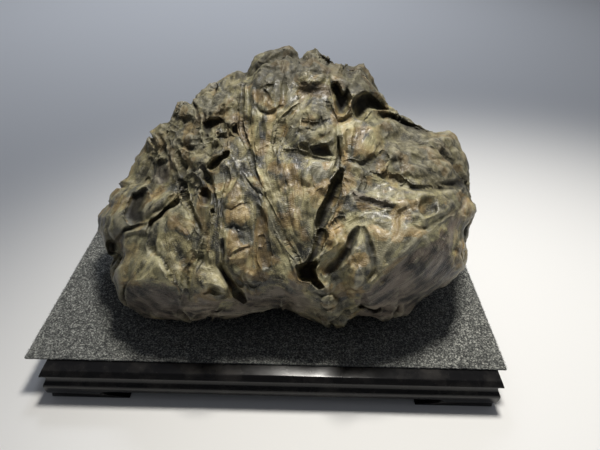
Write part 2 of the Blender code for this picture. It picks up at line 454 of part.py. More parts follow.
def noise(points, size, seed):
    """Smooth noise, -1 to 1, with features about `size` across."""
    q = points / size
    base = np.floor(q).astype(np.int64)
    f = q - base
    f = f * f * f * (f * (f * 6 - 15) + 10)
    total = np.zeros(len(q))
    for dx in (0, 1):
        for dy in (0, 1):
            for dz in (0, 1):
                step = np.array([dx, dy, dz])
                weight = np.where(step, f, 1 - f).prod(axis=1)
                total += weight * scatter(base + step, seed)
    return total * 2 - 1


def fractal(points, size, octaves, seed):
    """Noise with finer noise added, each octave half as large and half as high."""
    shares = [0.5 ** k for k in range(octaves)]
    layers = [s * noise(points, size * s, seed + k) for k, s in enumerate(shares)]
    return sum(layers) / sum(shares)


def swerve(points, size, seed):
    """Three noises as one offset for each point."""
    return np.stack([fractal(points, size, 2, seed + 10 * k) for k in range(3)], axis=1)


def chips(points, size, rise, tilt, seed, crests):
    """Tilted faces about `size` across that meet in valleys, or in sharp crests."""
    q = points / size
    base = np.floor(q).astype(np.int64)
    best = np.full(len(q), -1.0e9)
    for dx in (-1, 0, 1):
        for dy in (-1, 0, 1):
            for dz in (-1, 0, 1):
                cell = base + np.array([dx, dy, dz])
                place = np.stack([scatter(cell, seed + k) for k in (0, 1, 2)], axis=1)
                lean = np.stack([scatter(cell, seed + k) for k in (3, 4, 5)], axis=1)
                away = q - (cell + 0.1 + 0.8 * place)
                height = rise * (2 * scatter(cell, seed + 6) - 1)
                height += tilt * (away * (2 * lean - 1)).sum(axis=1)
                height -= 2.2 * rise * (away ** 2).sum(axis=1)
                best = np.maximum(best, height)
    sign = -1.0 if crests else 1.0
    return sign * (best + 0.6 * rise)


def clefts(points, size, seed):
    """How far each point is from the border between the two nearest cells, in cell sizes."""
    q = points / size
    base = np.floor(q).astype(np.int64)
    nearest = np.full(len(q), 9.0)
    second = np.full(len(q), 9.0)
    for dx in (-1, 0, 1):
        for dy in (-1, 0, 1):
            for dz in (-1, 0, 1):
                cell = base + np.array([dx, dy, dz])
                place = np.stack([scatter(cell, seed + k) for k in (0, 1, 2)], axis=1)
                d = np.sqrt(((q - (cell + 0.15 + 0.7 * place)) ** 2).sum(axis=1))
                second = np.minimum(second, np.maximum(nearest, d))
                nearest = np.minimum(nearest, d)
    return second - nearest


# ---------------------------------------------------------------- strokes on the sheet
def around(places, drawing, reach):
    """Which places lie within `reach` of a drawing's own box."""
    p = np.asarray(drawing, float)
    inside = (places > p.min(axis=0) - reach) & (places < p.max(axis=0) + reach)
    return np.flatnonzero(inside.all(axis=1))


def along(places, stroke):
    """Distance to a stroke, its nearest point, the hand it is on (+1 is left), and how far along, 0 to 1."""
    p = np.asarray(stroke, float)
    runs = p[1:] - p[:-1]
    lengths = np.sqrt((runs ** 2).sum(axis=1))
    starts = np.concatenate([[0.0], np.cumsum(lengths)])
    distance = np.full(len(places), 1.0e9)
    nearest = places.copy()
    hand = np.zeros(len(places))
    share = np.zeros(len(places))
    for k, run in enumerate(runs):
        rel = places - p[k]
        t = np.clip((rel @ run) / lengths[k] ** 2, 0, 1)
        foot = p[k] + t[:, None] * run
        d = np.sqrt(((places - foot) ** 2).sum(axis=1))
        near = d < distance
        distance = np.where(near, d, distance)
        nearest = np.where(near[:, None], foot, nearest)
        hand = np.where(near, np.sign(run[1] * rel[:, 0] - run[0] * rel[:, 1]), hand)
        share = np.where(near, (starts[k] + t * lengths[k]) / starts[-1], share)
    return distance, nearest, hand, share


def within(places, outline):
    """Distance to a closed outline, positive inside it."""
    p = np.asarray(outline, float)
    distance = np.full(len(places), 1.0e9)
    odd = np.zeros(len(places), bool)
    for a, b in zip(p, np.roll(p, -1, axis=0)):
        run = b - a
        rel = places - a
        t = np.clip((rel @ run) / (run @ run), 0, 1)
        distance = np.minimum(distance, np.sqrt(((rel - t[:, None] * run) ** 2).sum(axis=1)))
        if a[1] != b[1]:
            crossing = a[0] + rel[:, 1] / run[1] * run[0]
            odd ^= ((a[1] > places[:, 1]) != (b[1] > places[:, 1])) & (places[:, 0] < crossing)
    return np.where(odd, distance, -distance)


def ridge(places, height, left, right, stroke, crest=0.8):
    """A crest with a straight slope on each hand; a negative height makes a valley."""
    d, _, hand, share = along(places, stroke)
    width = np.where(hand > 0, left, right)
    taper = np.sqrt(np.clip(4 * share * (1 - share), 0, 1))
    return height * taper * np.clip(1 - (np.hypot(d, crest) - crest) / width, 0, 1)


def fissure(places, width, depth, stroke):
    """A narrow cut that thins out at its ends."""
    d, _, _, share = along(places, stroke)
    taper = np.clip(4 * share * (1 - share), 0, 1) ** 0.6
    return -depth * taper * np.clip(1 - d / (width * (0.45 + 0.55 * taper)), 0, 1) ** 0.8


def dome(places, middle, radii, turn, height, roundness):
    """A swelling."""
    c = math.cos(math.radians(turn))
    s = math.sin(math.radians(turn))
    rel = places - np.asarray(middle, float)
    a = (rel[:, 0] * c + rel[:, 1] * s) / radii[0]
    b = (rel[:, 1] * c - rel[:, 0] * s) / radii[1]
    return height * np.clip(1 - a * a - b * b, 0, 1) ** roundness


def relief(places):
    """Height of the stone's face towards the eye at each sheet place, in millimetres."""
    total = np.zeros(len(places))
    for height, left, right, stroke in RIDGES.values():
        near = around(places, stroke, max(left, right))
        total[near] += ridge(places[near], height, left, right, stroke)
    for swelling in DOMES.values():
        near = around(places, [swelling[0]], max(swelling[1]))
        total[near] += dome(places[near], *swelling)
    for middle, slope_u, slope_v, rise, soft, outline in FACETS.values():
        near = around(places, outline, soft)
        off = places[near] - np.array(middle)
        plane = rise + slope_u * off[:, 0] + slope_v * off[:, 1]
        total[near] += plane * ramp(-0.3 * soft, soft, within(places[near], outline))
    cut = np.zeros(len(places))
    for width, depth, shoulder, fall, stroke in FISSURES.values():
        near = around(places, stroke, max(width, shoulder))
        total[near] += ridge(places[near], -fall, shoulder, shoulder, stroke, crest=0.5)
        cut[near] = np.minimum(cut[near], fissure(places[near], width, depth, stroke))
    for depth, soft, outline in PITS.values():
        near = around(places, outline, soft)
        cut[near] = np.minimum(cut[near], -depth * ramp(0, soft, within(places[near], outline)))
    return total + cut


def gathered(places, reach):
    """The places drawn in to the nearest fissure or ridge, so that the stone's edges run along them."""
    closest = np.full(len(places), 1.0e9)
    target = places.copy()
    for stroke in [line[-1] for line in list(RIDGES.values()) + list(FISSURES.values())]:
        near = around(places, stroke, 2 * reach)
        d, foot, _, _ = along(places[near], stroke)
        better = d < closest[near]
        closest[near] = np.where(better, d, closest[near])
        target[near] = np.where(better[:, None], foot, target[near])
    pull = GATHER_SHARE * np.exp(-(closest / reach) ** 2)
    return places + pull[:, None] * (target - places)


def worn(places):
    """How worn the stone is at each sheet place, 0 to 1."""
    total = np.zeros(len(places))
    for fade, soft, outline in WORN.values():
        near = around(places, outline, soft)
        faded = fade * ramp(-0.3 * soft, soft, within(places[near], outline))
        total[near] = np.maximum(total[near], faded)
    return total


# ---------------------------------------------------------------- the stone
def ball_grid(count):
    """Unit directions on a cube's six faces, count x count quads each, and the welded quads."""
    t = np.tan(np.linspace(-math.pi / 4, math.pi / 4, count + 1))
    a, b = [g.ravel() for g in np.meshgrid(t, t, indexing="ij")]
    one = np.ones_like(a)
    faces = [(one, a, b), (-one, b, a), (b, one, a), (a, -one, b), (a, b, one), (b, a, -one)]
    points = np.concatenate([np.stack(f, axis=1) for f in faces])
    keys = np.round(points * 1.0e6).astype(np.int64)
    _, first, welded = np.unique(keys, axis=0, return_index=True, return_inverse=True)
    grid = np.arange((count + 1) ** 2).reshape(count + 1, count + 1)
    square = [grid[:-1, :-1], grid[1:, :-1], grid[1:, 1:], grid[:-1, 1:]]
    quad = np.stack([corner.ravel() for corner in square], axis=1)
    quads = np.concatenate([quad + k * (count + 1) ** 2 for k in range(6)])
    quads = welded.ravel()[quads]
    points = points[first]
    points /= np.linalg.norm(points, axis=1)[:, None]
    corners = points[quads]
    facing = np.cross(corners[:, 1] - corners[:, 0], corners[:, 2] - corners[:, 0])
    inward = (facing * corners.mean(axis=1)).sum(axis=1) < 0
    quads[inward] = quads[inward][:, ::-1]
    return points, quads


def mass_field(points):
    """Blended distance to the stone's masses, negative inside."""
    total = np.zeros(len(points))
    for middle, radii in MASSES:
        reach = np.sqrt((((points - np.array(middle)) / np.array(radii)) ** 2).sum(axis=1))
        total += np.exp(-(reach - 1) * min(radii) / MASS_BLEND)
    return -MASS_BLEND * np.log(total)


def cast(directions):
    """Where rays from the stone's heart leave its masses."""
    low = np.full(len(directions), RAY_REACH[0])
    high = np.full(len(directions), RAY_REACH[1])
    for _ in range(RAY_HALVINGS):
        middle = (low + high) / 2
        outside = mass_field(STONE_HEART + directions * middle[:, None]) > 0
        low = np.where(outside, low, middle)
        high = np.where(outside, middle, high)
    return STONE_HEART + directions * low[:, None]


def normals(points, quads):
    """The surface's unit normal at each point."""
    corners = points[quads]
    cross = np.cross(corners[:, 2] - corners[:, 0], corners[:, 3] - corners[:, 1])
    total = np.zeros_like(points)
    for k in range(4):
        np.add.at(total, quads[:, k], cross)
    return total / (np.linalg.norm(total, axis=1)[:, None] + 1.0e-12)


def towards_eye(points, quads):
    """Normals, directions to the eye, and how squarely each point faces the eye."""
    normal = normals(points, quads)
    toward = EYE - points
    toward /= np.linalg.norm(toward, axis=1)[:, None]
    return normal, toward, (normal * toward).sum(axis=1)


def outline_reach(angles):
    """Distance from the sheet's hub to the stone's outline in each direction."""
    p = np.asarray(OUTLINE, float) - np.array(SHEET_HUB)
    dx = np.cos(angles)
    dy = np.sin(angles)
    reach = np.zeros(len(angles))
    for a, b in zip(p, np.roll(p, -1, axis=0)):
        run = b - a
        across = dx * run[1] - dy * run[0]
        across = np.where(np.abs(across) < 1.0e-9, 1.0e-9, across)
        r = (a[0] * run[1] - a[1] * run[0]) / across
        t = (a[0] * dy - a[1] * dx) / across
        hit = (r > 0) & (t >= -1.0e-9) & (t <= 1 + 1.0e-9)
        reach = np.where(hit, np.maximum(reach, r), reach)
    return reach


def fit_outline(points, blur=15, rounds=2):
    """Stretch the stone about the hub's ray until its outline on the sheet is OUTLINE."""
    bins = OUTLINE_BINS
    step = 2 * math.pi / bins
    wanted = outline_reach(-math.pi + (np.arange(bins) + 0.5) * step)
    kernel = np.exp(-(np.arange(-blur, blur + 1) / OUTLINE_BLUR) ** 2)
    kernel /= kernel.sum()
    for _ in range(rounds):
        u, v, depth = to_sheet(points)
        du = u - SHEET_HUB[0]
        dv = v - SHEET_HUB[1]
        reach = np.hypot(du, dv)
        turn = (np.arctan2(dv, du) + math.pi) / step
        own = np.ones(bins)
        np.maximum.at(own, np.floor(turn).astype(int) % bins, reach)
        scale = wanted / own
        padded = np.concatenate([scale[-blur:], scale, scale[:blur]])
        broad = np.convolve(padded, kernel, mode="valid")
        below = np.floor(turn - 0.5).astype(int)
        part = turn - 0.5 - below

        def read(table):
            return table[below % bins] * (1 - part) + table[(below + 1) % bins] * part

        rim = ramp(OUTLINE_RIM, 1.0, reach / read(own))
        factor = read(broad) * (1 - rim) + read(scale) * rim
        points = from_sheet(SHEET_HUB[0] + du * factor, SHEET_HUB[1] + dv * factor, depth)
    return points


def settle(points):
    """Flatten what would go below the plane that the stone rests on."""
    above = points[:, 2] - STONE_FOOT_Z
    eased = FOOT_SOFTNESS * np.exp(np.clip(above / FOOT_SOFTNESS - 1, -30, 0))
    settled = points.copy()
    settled[:, 2] = STONE_FOOT_Z + np.where(above < FOOT_SOFTNESS, eased, above)
    return settled


def seat(points):
    """Let the lowest parts down until the stone stands on them."""
    above = points[:, 2] - STONE_FOOT_Z
    lowest = np.sort(above)[len(above) // SEAT_SHARE]
    seated = points.copy()
    lowered = above - lowest * (1 - ramp(0.0, SEAT_HEIGHT, above))
    seated[:, 2] = STONE_FOOT_Z + np.maximum(lowered, 0.0)
    return seated


def unsteady(u, v):
    """How far the drawing wavers at each sheet place."""
    flat = np.stack([u, v, np.zeros(len(u))], axis=1)
    return UNSTEADY_BY * np.stack([fractal(flat, UNSTEADY_SIZE, 3, seed) for seed in UNSTEADY_SEEDS], axis=1)


def grained(points, grain, by, size, seed):
    """The points in the stone's grain, squashed and swerving."""
    squashed = points * np.array(grain)
    return squashed + by * swerve(squashed, size, seed)


def stone_form(count):
    """The stone's points and quads."""
    directions, quads = ball_grid(count)
    directions = directions - GRID_LEAN * AHEAD
    directions /= np.linalg.norm(directions, axis=1)[:, None]
    points = settle(cast(directions))

    # Broad faces and clefts, strongest on the back and the sides, which the sheet doesn't reach.
    normal, _, facing = towards_eye(points, quads)
    grain = grained(points, BROAD_GRAIN, *BROAD_SWERVE)
    broad = sum(chips(grain, *layer) for layer in BROAD_CHIPS)
    broad -= CLEFT_DEPTH * np.clip(1 - clefts(grain, CLEFT_SIZE, CLEFT_SEED) / CLEFT_WIDTH, 0, 1)
    share = 1 - (1 - BROAD_LEFT) * ramp(*BROAD_FADES, facing)
    points = settle(fit_outline(points + normal * (broad * share)[:, None]))

    # The face: everything drawn on the sheet, a little unsteady like a broken edge.
    _, _, facing = towards_eye(points, quads)
    u, v, depth = to_sheet(points)
    shaken = unsteady(u, v)
    places = gathered(np.stack([u, v], axis=1) + shaken, GATHER_REACH / count)
    moved = from_sheet(places[:, 0] - shaken[:, 0], places[:, 1] - shaken[:, 1], depth)
    points = points + (moved - points) * ramp(*GATHERED, facing)[:, None]
    _, toward, facing = towards_eye(points, quads)
    u, v, _ = to_sheet(points)
    places = np.stack([u, v], axis=1) + unsteady(u, v)
    height = relief(places) * MM * ramp(*DRAWN, facing)
    points = points + toward * height[:, None]

    # Small chipped faces all over, faint where the face is worn.
    grain = grained(points, SMALL_GRAIN, *SMALL_SWERVE)
    fine = sum(chips(grain, *layer) for layer in SMALL_CHIPS)
    fine *= 1 - worn(places) * ramp(*DRAWN, facing)
    return seat(settle(points + normals(points, quads) * fine[:, None])), quads


# ---------------------------------------------------------------- Blender objects
def material(name, colour, roughness, metallic=0.0):
    """A plain Principled material."""
    made = bpy.data.materials.new(name)
    made.use_nodes = True
    shader = made.node_tree.nodes["Principled BSDF"]
    shader.inputs["Base Color"].default_value = (*colour, 1.0)
    shader.inputs["Roughness"].default_value = roughness
    shader.inputs["Metallic"].default_value = metallic
    return made


def add_object(name, points, faces, finish):
    """A new object with the given mesh and material."""
    mesh = bpy.data.meshes.new(name)
    mesh.from_pydata([tuple(p) for p in points], [], [tuple(f) for f in faces])
    mesh.update()
    mesh.materials.append(finish)
    made = bpy.data.objects.new(name, mesh)
    bpy.context.scene.collection.objects.link(made)
    return made


def make_rock(finish):
    """The stone, thinned to large flat faces where it is plain and small ones along its ridges."""
    points, quads = stone_form(STONE_GRID)
    rock = add_object("rock", points.tolist(), quads.tolist(), finish)
    thin = rock.modifiers.new("thin", "DECIMATE")
    thin.decimate_type = "COLLAPSE"
    thin.ratio = STONE_TRIANGLES / (2 * len(quads))
    thin.use_collapse_triangulate = True
    thinned = bpy.data.meshes.new_from_object(rock.evaluated_get(bpy.context.evaluated_depsgraph_get()))
    rock.modifiers.clear()
    rock.data = thinned
    for corner in thinned.vertices:
        corner.co.z = max(corner.co.z, STONE_FOOT_Z)
    return rock


def make_mat(finish):
    """The felt sheet, wider than the board and hanging over its sides and back."""
    bottom = STAND_HEIGHT + GAP
    mat = add_object("mat", [], [], finish)
    form = bmesh.new()
    bmesh.ops.create_cube(form, size=1.0)
    bmesh.ops.scale(form, verts=form.verts, vec=(MAT_WIDTH, MAT_DEPTH, MAT_THICKNESS))
    bmesh.ops.translate(form, verts=form.verts, vec=(0.0, MAT_MIDDLE_Y, bottom + MAT_THICKNESS / 2))
    form.to_mesh(mat.data)
    form.free()
    return mat


def make_board(finish):
    """The stand's top board: its moulded edge is a stack of rectangles, one for each edge point."""
    rings = []
    for outward, height in BOARD_EDGE:
        half_x = STAND_WIDTH / 2 + outward * MM
        half_y = STAND_DEPTH / 2 + outward * MM
        corners = [(-half_x, -half_y), (half_x, -half_y), (half_x, half_y), (-half_x, half_y)]
        rings.append([(STAND_MIDDLE_X + x, STAND_MIDDLE_Y + y, height * MM) for x, y in corners])
    points = [p for ring in rings for p in ring]
    faces = [(0, 1, 2, 3)]
    for k in range(len(rings) - 1):
        for c in range(4):
            d = (c + 1) % 4
            faces.append((4 * k + c, 4 * k + 4 + c, 4 * k + 4 + d, 4 * k + d))
    last = 4 * (len(rings) - 1)
    faces.append((last + 3, last + 2, last + 1, last))
    return add_object("stand_top", points, faces, finish)


def rail_frame(side):
    """Length and depth of the frame as `side` sees it, and its turn about the stand's middle."""
    turns = {"front": 0, "right": 90, "back": 180, "left": 270}
    along_x = side in ("front", "back")
    length = STAND_WIDTH if along_x else STAND_DEPTH
    depth = STAND_DEPTH if along_x else STAND_WIDTH
    return length, depth, math.radians(turns[side])


def make_rail(side, finish):
    """One mitred rail: the moulding run from corner to corner, with the low cut-out between its feet."""
    length, depth, turn = rail_frame(side)
    profile = [(o * MM, z * MM) for o, z in RAIL_EDGE]
    profile += [(-RAIL_THICKNESS, 0.0), (-RAIL_THICKNESS, RAIL_EDGE[0][1] * MM)]
    count = len(profile)
    # The mitre: each end stops GAP / 2 short of the corner's diagonal.
    ends = []
    for sign in (-1, 1):
        ends.append([(sign * (length / 2 + o - GAP), -(depth / 2 + o), z) for o, z in profile])
    points = ends[0] + ends[1]
    faces = [tuple(range(count)), tuple(range(2 * count - 1, count - 1, -1))]
    for k in range(count):
        n = (k + 1) % count
        faces.append((k, k + count, n + count, n))
    rail = add_object("rail_" + side, points, faces, finish)
    cutter = make_cutter(side, length, depth)
    cut = rail.modifiers.new("cut-out", "BOOLEAN")
    cut.operation = "DIFFERENCE"
    cut.object = cutter
    for made in (rail, cutter):
        made.location = (STAND_MIDDLE_X, STAND_MIDDLE_Y, 0.0)
        made.rotation_euler = (0.0, 0.0, turn)
    return rail


def make_cutter(side, length, depth):
    """The cut-out's shape: round ends that undercut a small toe on each foot."""
    half = length / 2 - FOOT_LENGTH
    toe = [(half + past * MM, height * MM) for past, height in TOE]
    radius = (CUT_OUT_HEIGHT - TOE_HEIGHT) / 2
    middle_z = TOE_HEIGHT + radius
    bow = []
    for k in range(BOW_STEPS):
        angle = math.pi * (k / (BOW_STEPS - 1) - 0.5)
        bow.append((half - 2 * radius * (1 - math.cos(angle)), middle_z + radius * math.sin(angle)))
    right = toe + bow
    outline = right + [(-x, z) for x, z in reversed(right)]
    front = -(depth / 2 + CUTTER_SPILL)
    back = -(depth / 2 - RAIL_THICKNESS - CUTTER_SPILL)
    count = len(outline)
    points = [(x, front, z) for x, z in outline] + [(x, back, z) for x, z in outline]
    faces = [tuple(range(count)), tuple(range(2 * count - 1, count - 1, -1))]
    for k in range(count):
        n = (k + 1) % count
        faces.append((k, k + count, n + count, n))
    cutter = add_object("cutter_" + side, points, faces, material("cutter_" + side, *CUTTER_FINISH))
    cutter.hide_render = True
    cutter.display_type = "WIRE"
    return cutter


def main():
    for old in list(bpy.data.objects):
        bpy.data.objects.remove(old)
    make_rock(material("stone", *STONE_FINISH))
    make_mat(material("grey felt", *FELT_FINISH))
    make_board(material("black lacquer board", *LACQUER_FINISH))
    for side in ("front", "right", "back", "left"):
        make_rail(side, material("black lacquer " + side, *LACQUER_FINISH))


main()
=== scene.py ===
"""Scholars rock on its felt mat and lacquered stand: the looks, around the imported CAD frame.

Blender 4.5, metres, +Z up, -Y the front. The stone is shaped by the same named strokes as the solid,
more finely, and coloured by masks that the shader reads as vertex attributes.
"""

import itertools
import math

import bmesh
import bpy
import numpy as np
from mathutils import Matrix, Vector


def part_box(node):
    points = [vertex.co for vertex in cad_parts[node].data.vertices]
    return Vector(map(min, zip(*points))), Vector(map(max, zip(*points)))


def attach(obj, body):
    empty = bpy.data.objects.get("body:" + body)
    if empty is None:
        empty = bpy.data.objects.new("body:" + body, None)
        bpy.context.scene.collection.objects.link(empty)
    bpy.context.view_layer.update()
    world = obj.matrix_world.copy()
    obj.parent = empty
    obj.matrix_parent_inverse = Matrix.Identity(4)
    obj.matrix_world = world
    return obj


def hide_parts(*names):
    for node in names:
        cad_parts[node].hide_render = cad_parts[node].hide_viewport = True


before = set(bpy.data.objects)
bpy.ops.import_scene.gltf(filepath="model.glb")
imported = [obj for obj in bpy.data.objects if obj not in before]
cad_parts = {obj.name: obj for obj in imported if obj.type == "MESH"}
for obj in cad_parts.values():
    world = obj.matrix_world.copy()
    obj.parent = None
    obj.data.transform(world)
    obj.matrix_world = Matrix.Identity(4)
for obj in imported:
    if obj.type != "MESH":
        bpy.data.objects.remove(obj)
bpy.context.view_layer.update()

MM = 0.001
FAR = 1.0e9
MAT_LOW, MAT_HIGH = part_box("mat")
BOARD_LOW, BOARD_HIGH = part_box("stand_top")

# ---------------------------------------------------------------- the stone
STONE_HEART = np.array([0.0, -0.010, 0.140])
STONE_FOOT_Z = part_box("rock")[0].z + 0.0003
STONE_GRID = 176
STONE_TRIANGLES = 196000
STONE_EASING = 0.35
GRID_LEAN = 0.30
FOOT_SOFTNESS = 0.004
SEAT_HEIGHT = 0.030
SEAT_SHARE = 250
CLEFT_SIZE = 0.066
CLEFT_DEPTH = 0.009
CLEFT_WIDTH = 0.10
CLEFT_SEED = 5
RAY_REACH = (0.01, 0.40)
RAY_HALVINGS = 34
UNSTEADY_BY = 1.5
UNSTEADY_SIZE = 16.0
UNSTEADY_SEEDS = (3, 4)
GATHER_SHARE = 0.80
GATHER_REACH = 250.0
OUTLINE_BINS = 480
OUTLINE_BLUR = 6.0
OUTLINE_SPAN = 15
OUTLINE_RIM = 0.80
OUTLINE_ROUNDS = 2

# How the strokes are cut: the roundness of a ridge's crest and of a fissure's shoulders in millimetres, how
# a fissure tapers, narrows at its ends and steepens, and how much of a soft edge lies outside its outline.
RIDGE_CREST = 0.8
SHOULDER_CREST = 0.5
FISSURE_TAPER = 0.6
FISSURE_ENDS = 0.45
FISSURE_CURVE = 0.8
EDGE_SPILL = 0.3

# Chipped faces as (size, rise, tilt, seed, crests), the broad ones and the small ones. They follow a grain
# that is squashed as (x, y, z) and swerves by (how much, how broadly, seed). Each face or cleft has a point
# in its cell, as far in as JITTER's first number and up to its second one further.
BROAD_CHIPS = [(0.070, 0.007, 0.010, 11, False), (0.055, 0.004, 0.007, 21, True)]
BROAD_GRAIN = (1.0, 1.0, 0.55)
BROAD_SWERVE = (0.014, 0.090, 41)
SMALL_CHIPS = [(0.027, 0.0017, 0.0040, 31, True), (0.015, 0.0009, 0.0024, 51, True)]
SMALL_GRAIN = (1.0, 1.0, 0.60)
SMALL_SWERVE = (0.003, 0.020, 141)
CHIP_FALL = 2.2
CHIP_LIFT = 0.6
CHIP_JITTER = (0.1, 0.8)
CLEFT_JITTER = (0.15, 0.7)

# Fine relief: ribs and pits as noise with a height in metres, and lumps as chipped faces.
RIBS = (0.0050, 0.009, 301)
RIB_HEIGHT = 0.00022
RIBS_LOST_ON_MAUVE = 0.3
PITTING = (0.006, 3, 311)
PITTING_HEIGHT = 0.00050
PITTING_SHARPNESS = 2.2
CRUST_LUMPS = [(0.0100, 0.0009, 0.0020, 91, False), (0.0055, 0.0006, 0.0013, 97, True)]
LUMPS_EVERYWHERE = 0.40
RELIEF_ROUNDS = 4

# How squarely a place faces the eye, 0 to 1: where the drawing on the sheet starts to reach it and where it
# is whole, the same for the gathering along strokes, for the streaks and the fine relief, and for the
# fading of the broad chips, down to a share.
DRAWN = (0.0, 0.25)
GATHERED = (0.05, 0.35)
STREAKED = (0.05, 0.30)
ROUGHENED = (0.0, 0.2)
BROAD_FADES = (0.10, 0.50)
BROAD_LEFT = 0.20


# The stone's masses: middle and radii, in metres.
MASSES = [
    ((0.000, 0.002, 0.108), (0.168, 0.100, 0.078)),
    ((0.008, 0.058, 0.172), (0.085, 0.066, 0.088)),
    ((0.122, 0.006, 0.122), (0.090, 0.084, 0.076)),
    ((-0.128, 0.020, 0.096), (0.094, 0.082, 0.064)),
    ((0.050, -0.046, 0.098), (0.108, 0.064, 0.060)),
    ((-0.060, -0.036, 0.094), (0.102, 0.068, 0.054)),
    ((-0.060, 0.044, 0.152), (0.080, 0.068, 0.072)),
    ((0.066, 0.040, 0.164), (0.080, 0.070, 0.074)),
]
MASS_BLEND = 0.022

# The stone's face is laid out on a flat sheet, 600 x 450 mm, that stands SHEET_DISTANCE in front of an eye
# point. A place on the sheet is (u to the right, v down) in millimetres from its upper left corner, and it
# stands for every point on the ray from the eye through it.
EYE = np.array([0.02612, -0.43065, 0.41339])
EYE_YAW = 0.0056437
EYE_PITCH = 0.6325154
EYE_ROLL = 0.0284709
SHEET_DISTANCE = 485.0
SHEET_MIDDLE = (300.0, 225.0)
SHEET_HUB = (285.0, 200.0)

# The stone's outline on the sheet, clockwise from its left tip.
OUTLINE = [
    (96, 232), (98, 216), (109, 197), (121, 179), (126, 176), (130, 165), (140, 148), (150, 129),
    (159, 121), (167, 118), (171, 112), (173, 104), (177, 100), (184, 98), (190, 101), (192, 97),
    (200, 91), (209, 85), (216, 82), (225, 75), (235, 70), (242, 68), (246, 70), (249, 66), (250, 62),
    (256, 55), (262, 52), (270, 48), (285, 43.5), (290, 45), (294, 48), (302, 53), (307, 48), (316, 45),
    (325, 52), (331, 58), (339, 62), (346, 58.5), (353, 63.5), (358, 60), (366, 60), (368, 66),
    (375, 76), (382, 91), (388, 101), (396, 106.5), (409, 116), (417, 124), (431, 129), (439, 132),
    (449, 130), (455, 134), (468, 158), (470, 179), (472, 197), (476, 204), (476.5, 211), (473.5, 220),
    (470, 229), (469.5, 237), (466.5, 242), (470, 251), (469, 262), (466, 271), (455, 280), (447, 288),
    (434, 295), (418, 306), (408, 315), (391, 320), (382, 323), (372, 317.5), (357, 314), (349, 320),
    (345, 329), (337, 330), (330, 330.5), (319, 324), (304, 318), (284, 311.5), (273, 311), (251, 316),
    (237, 321), (208, 323), (184, 321.5), (150, 319), (140, 316), (127, 309), (117, 300), (112, 286),
    (108, 281), (107, 272), (110, 262), (111, 257), (106, 256), (104, 250), (101, 243),
]

# Worn places, where the chipping is faint: how much it fades, softness of the edge, outline.
WORN = {
    "lower right face": (0.80, 10, [
        (356, 300), (392, 270), (434, 238), (462, 212), (468, 240), (456, 280), (408, 314), (360, 316)]),
    "belly": (0.70, 9, [
        (112, 292), (150, 286), (200, 304), (250, 296), (290, 288), (306, 300), (250, 324), (140, 322)]),
    "panel": (0.65, 8, [(270, 156), (334, 166), (332, 190), (318, 232), (303, 262), (284, 236), (262, 190)]),
    "hollow": (0.80, 6, [(128, 190), (146, 185), (149, 205), (145, 224), (130, 227), (124, 208)]),
}

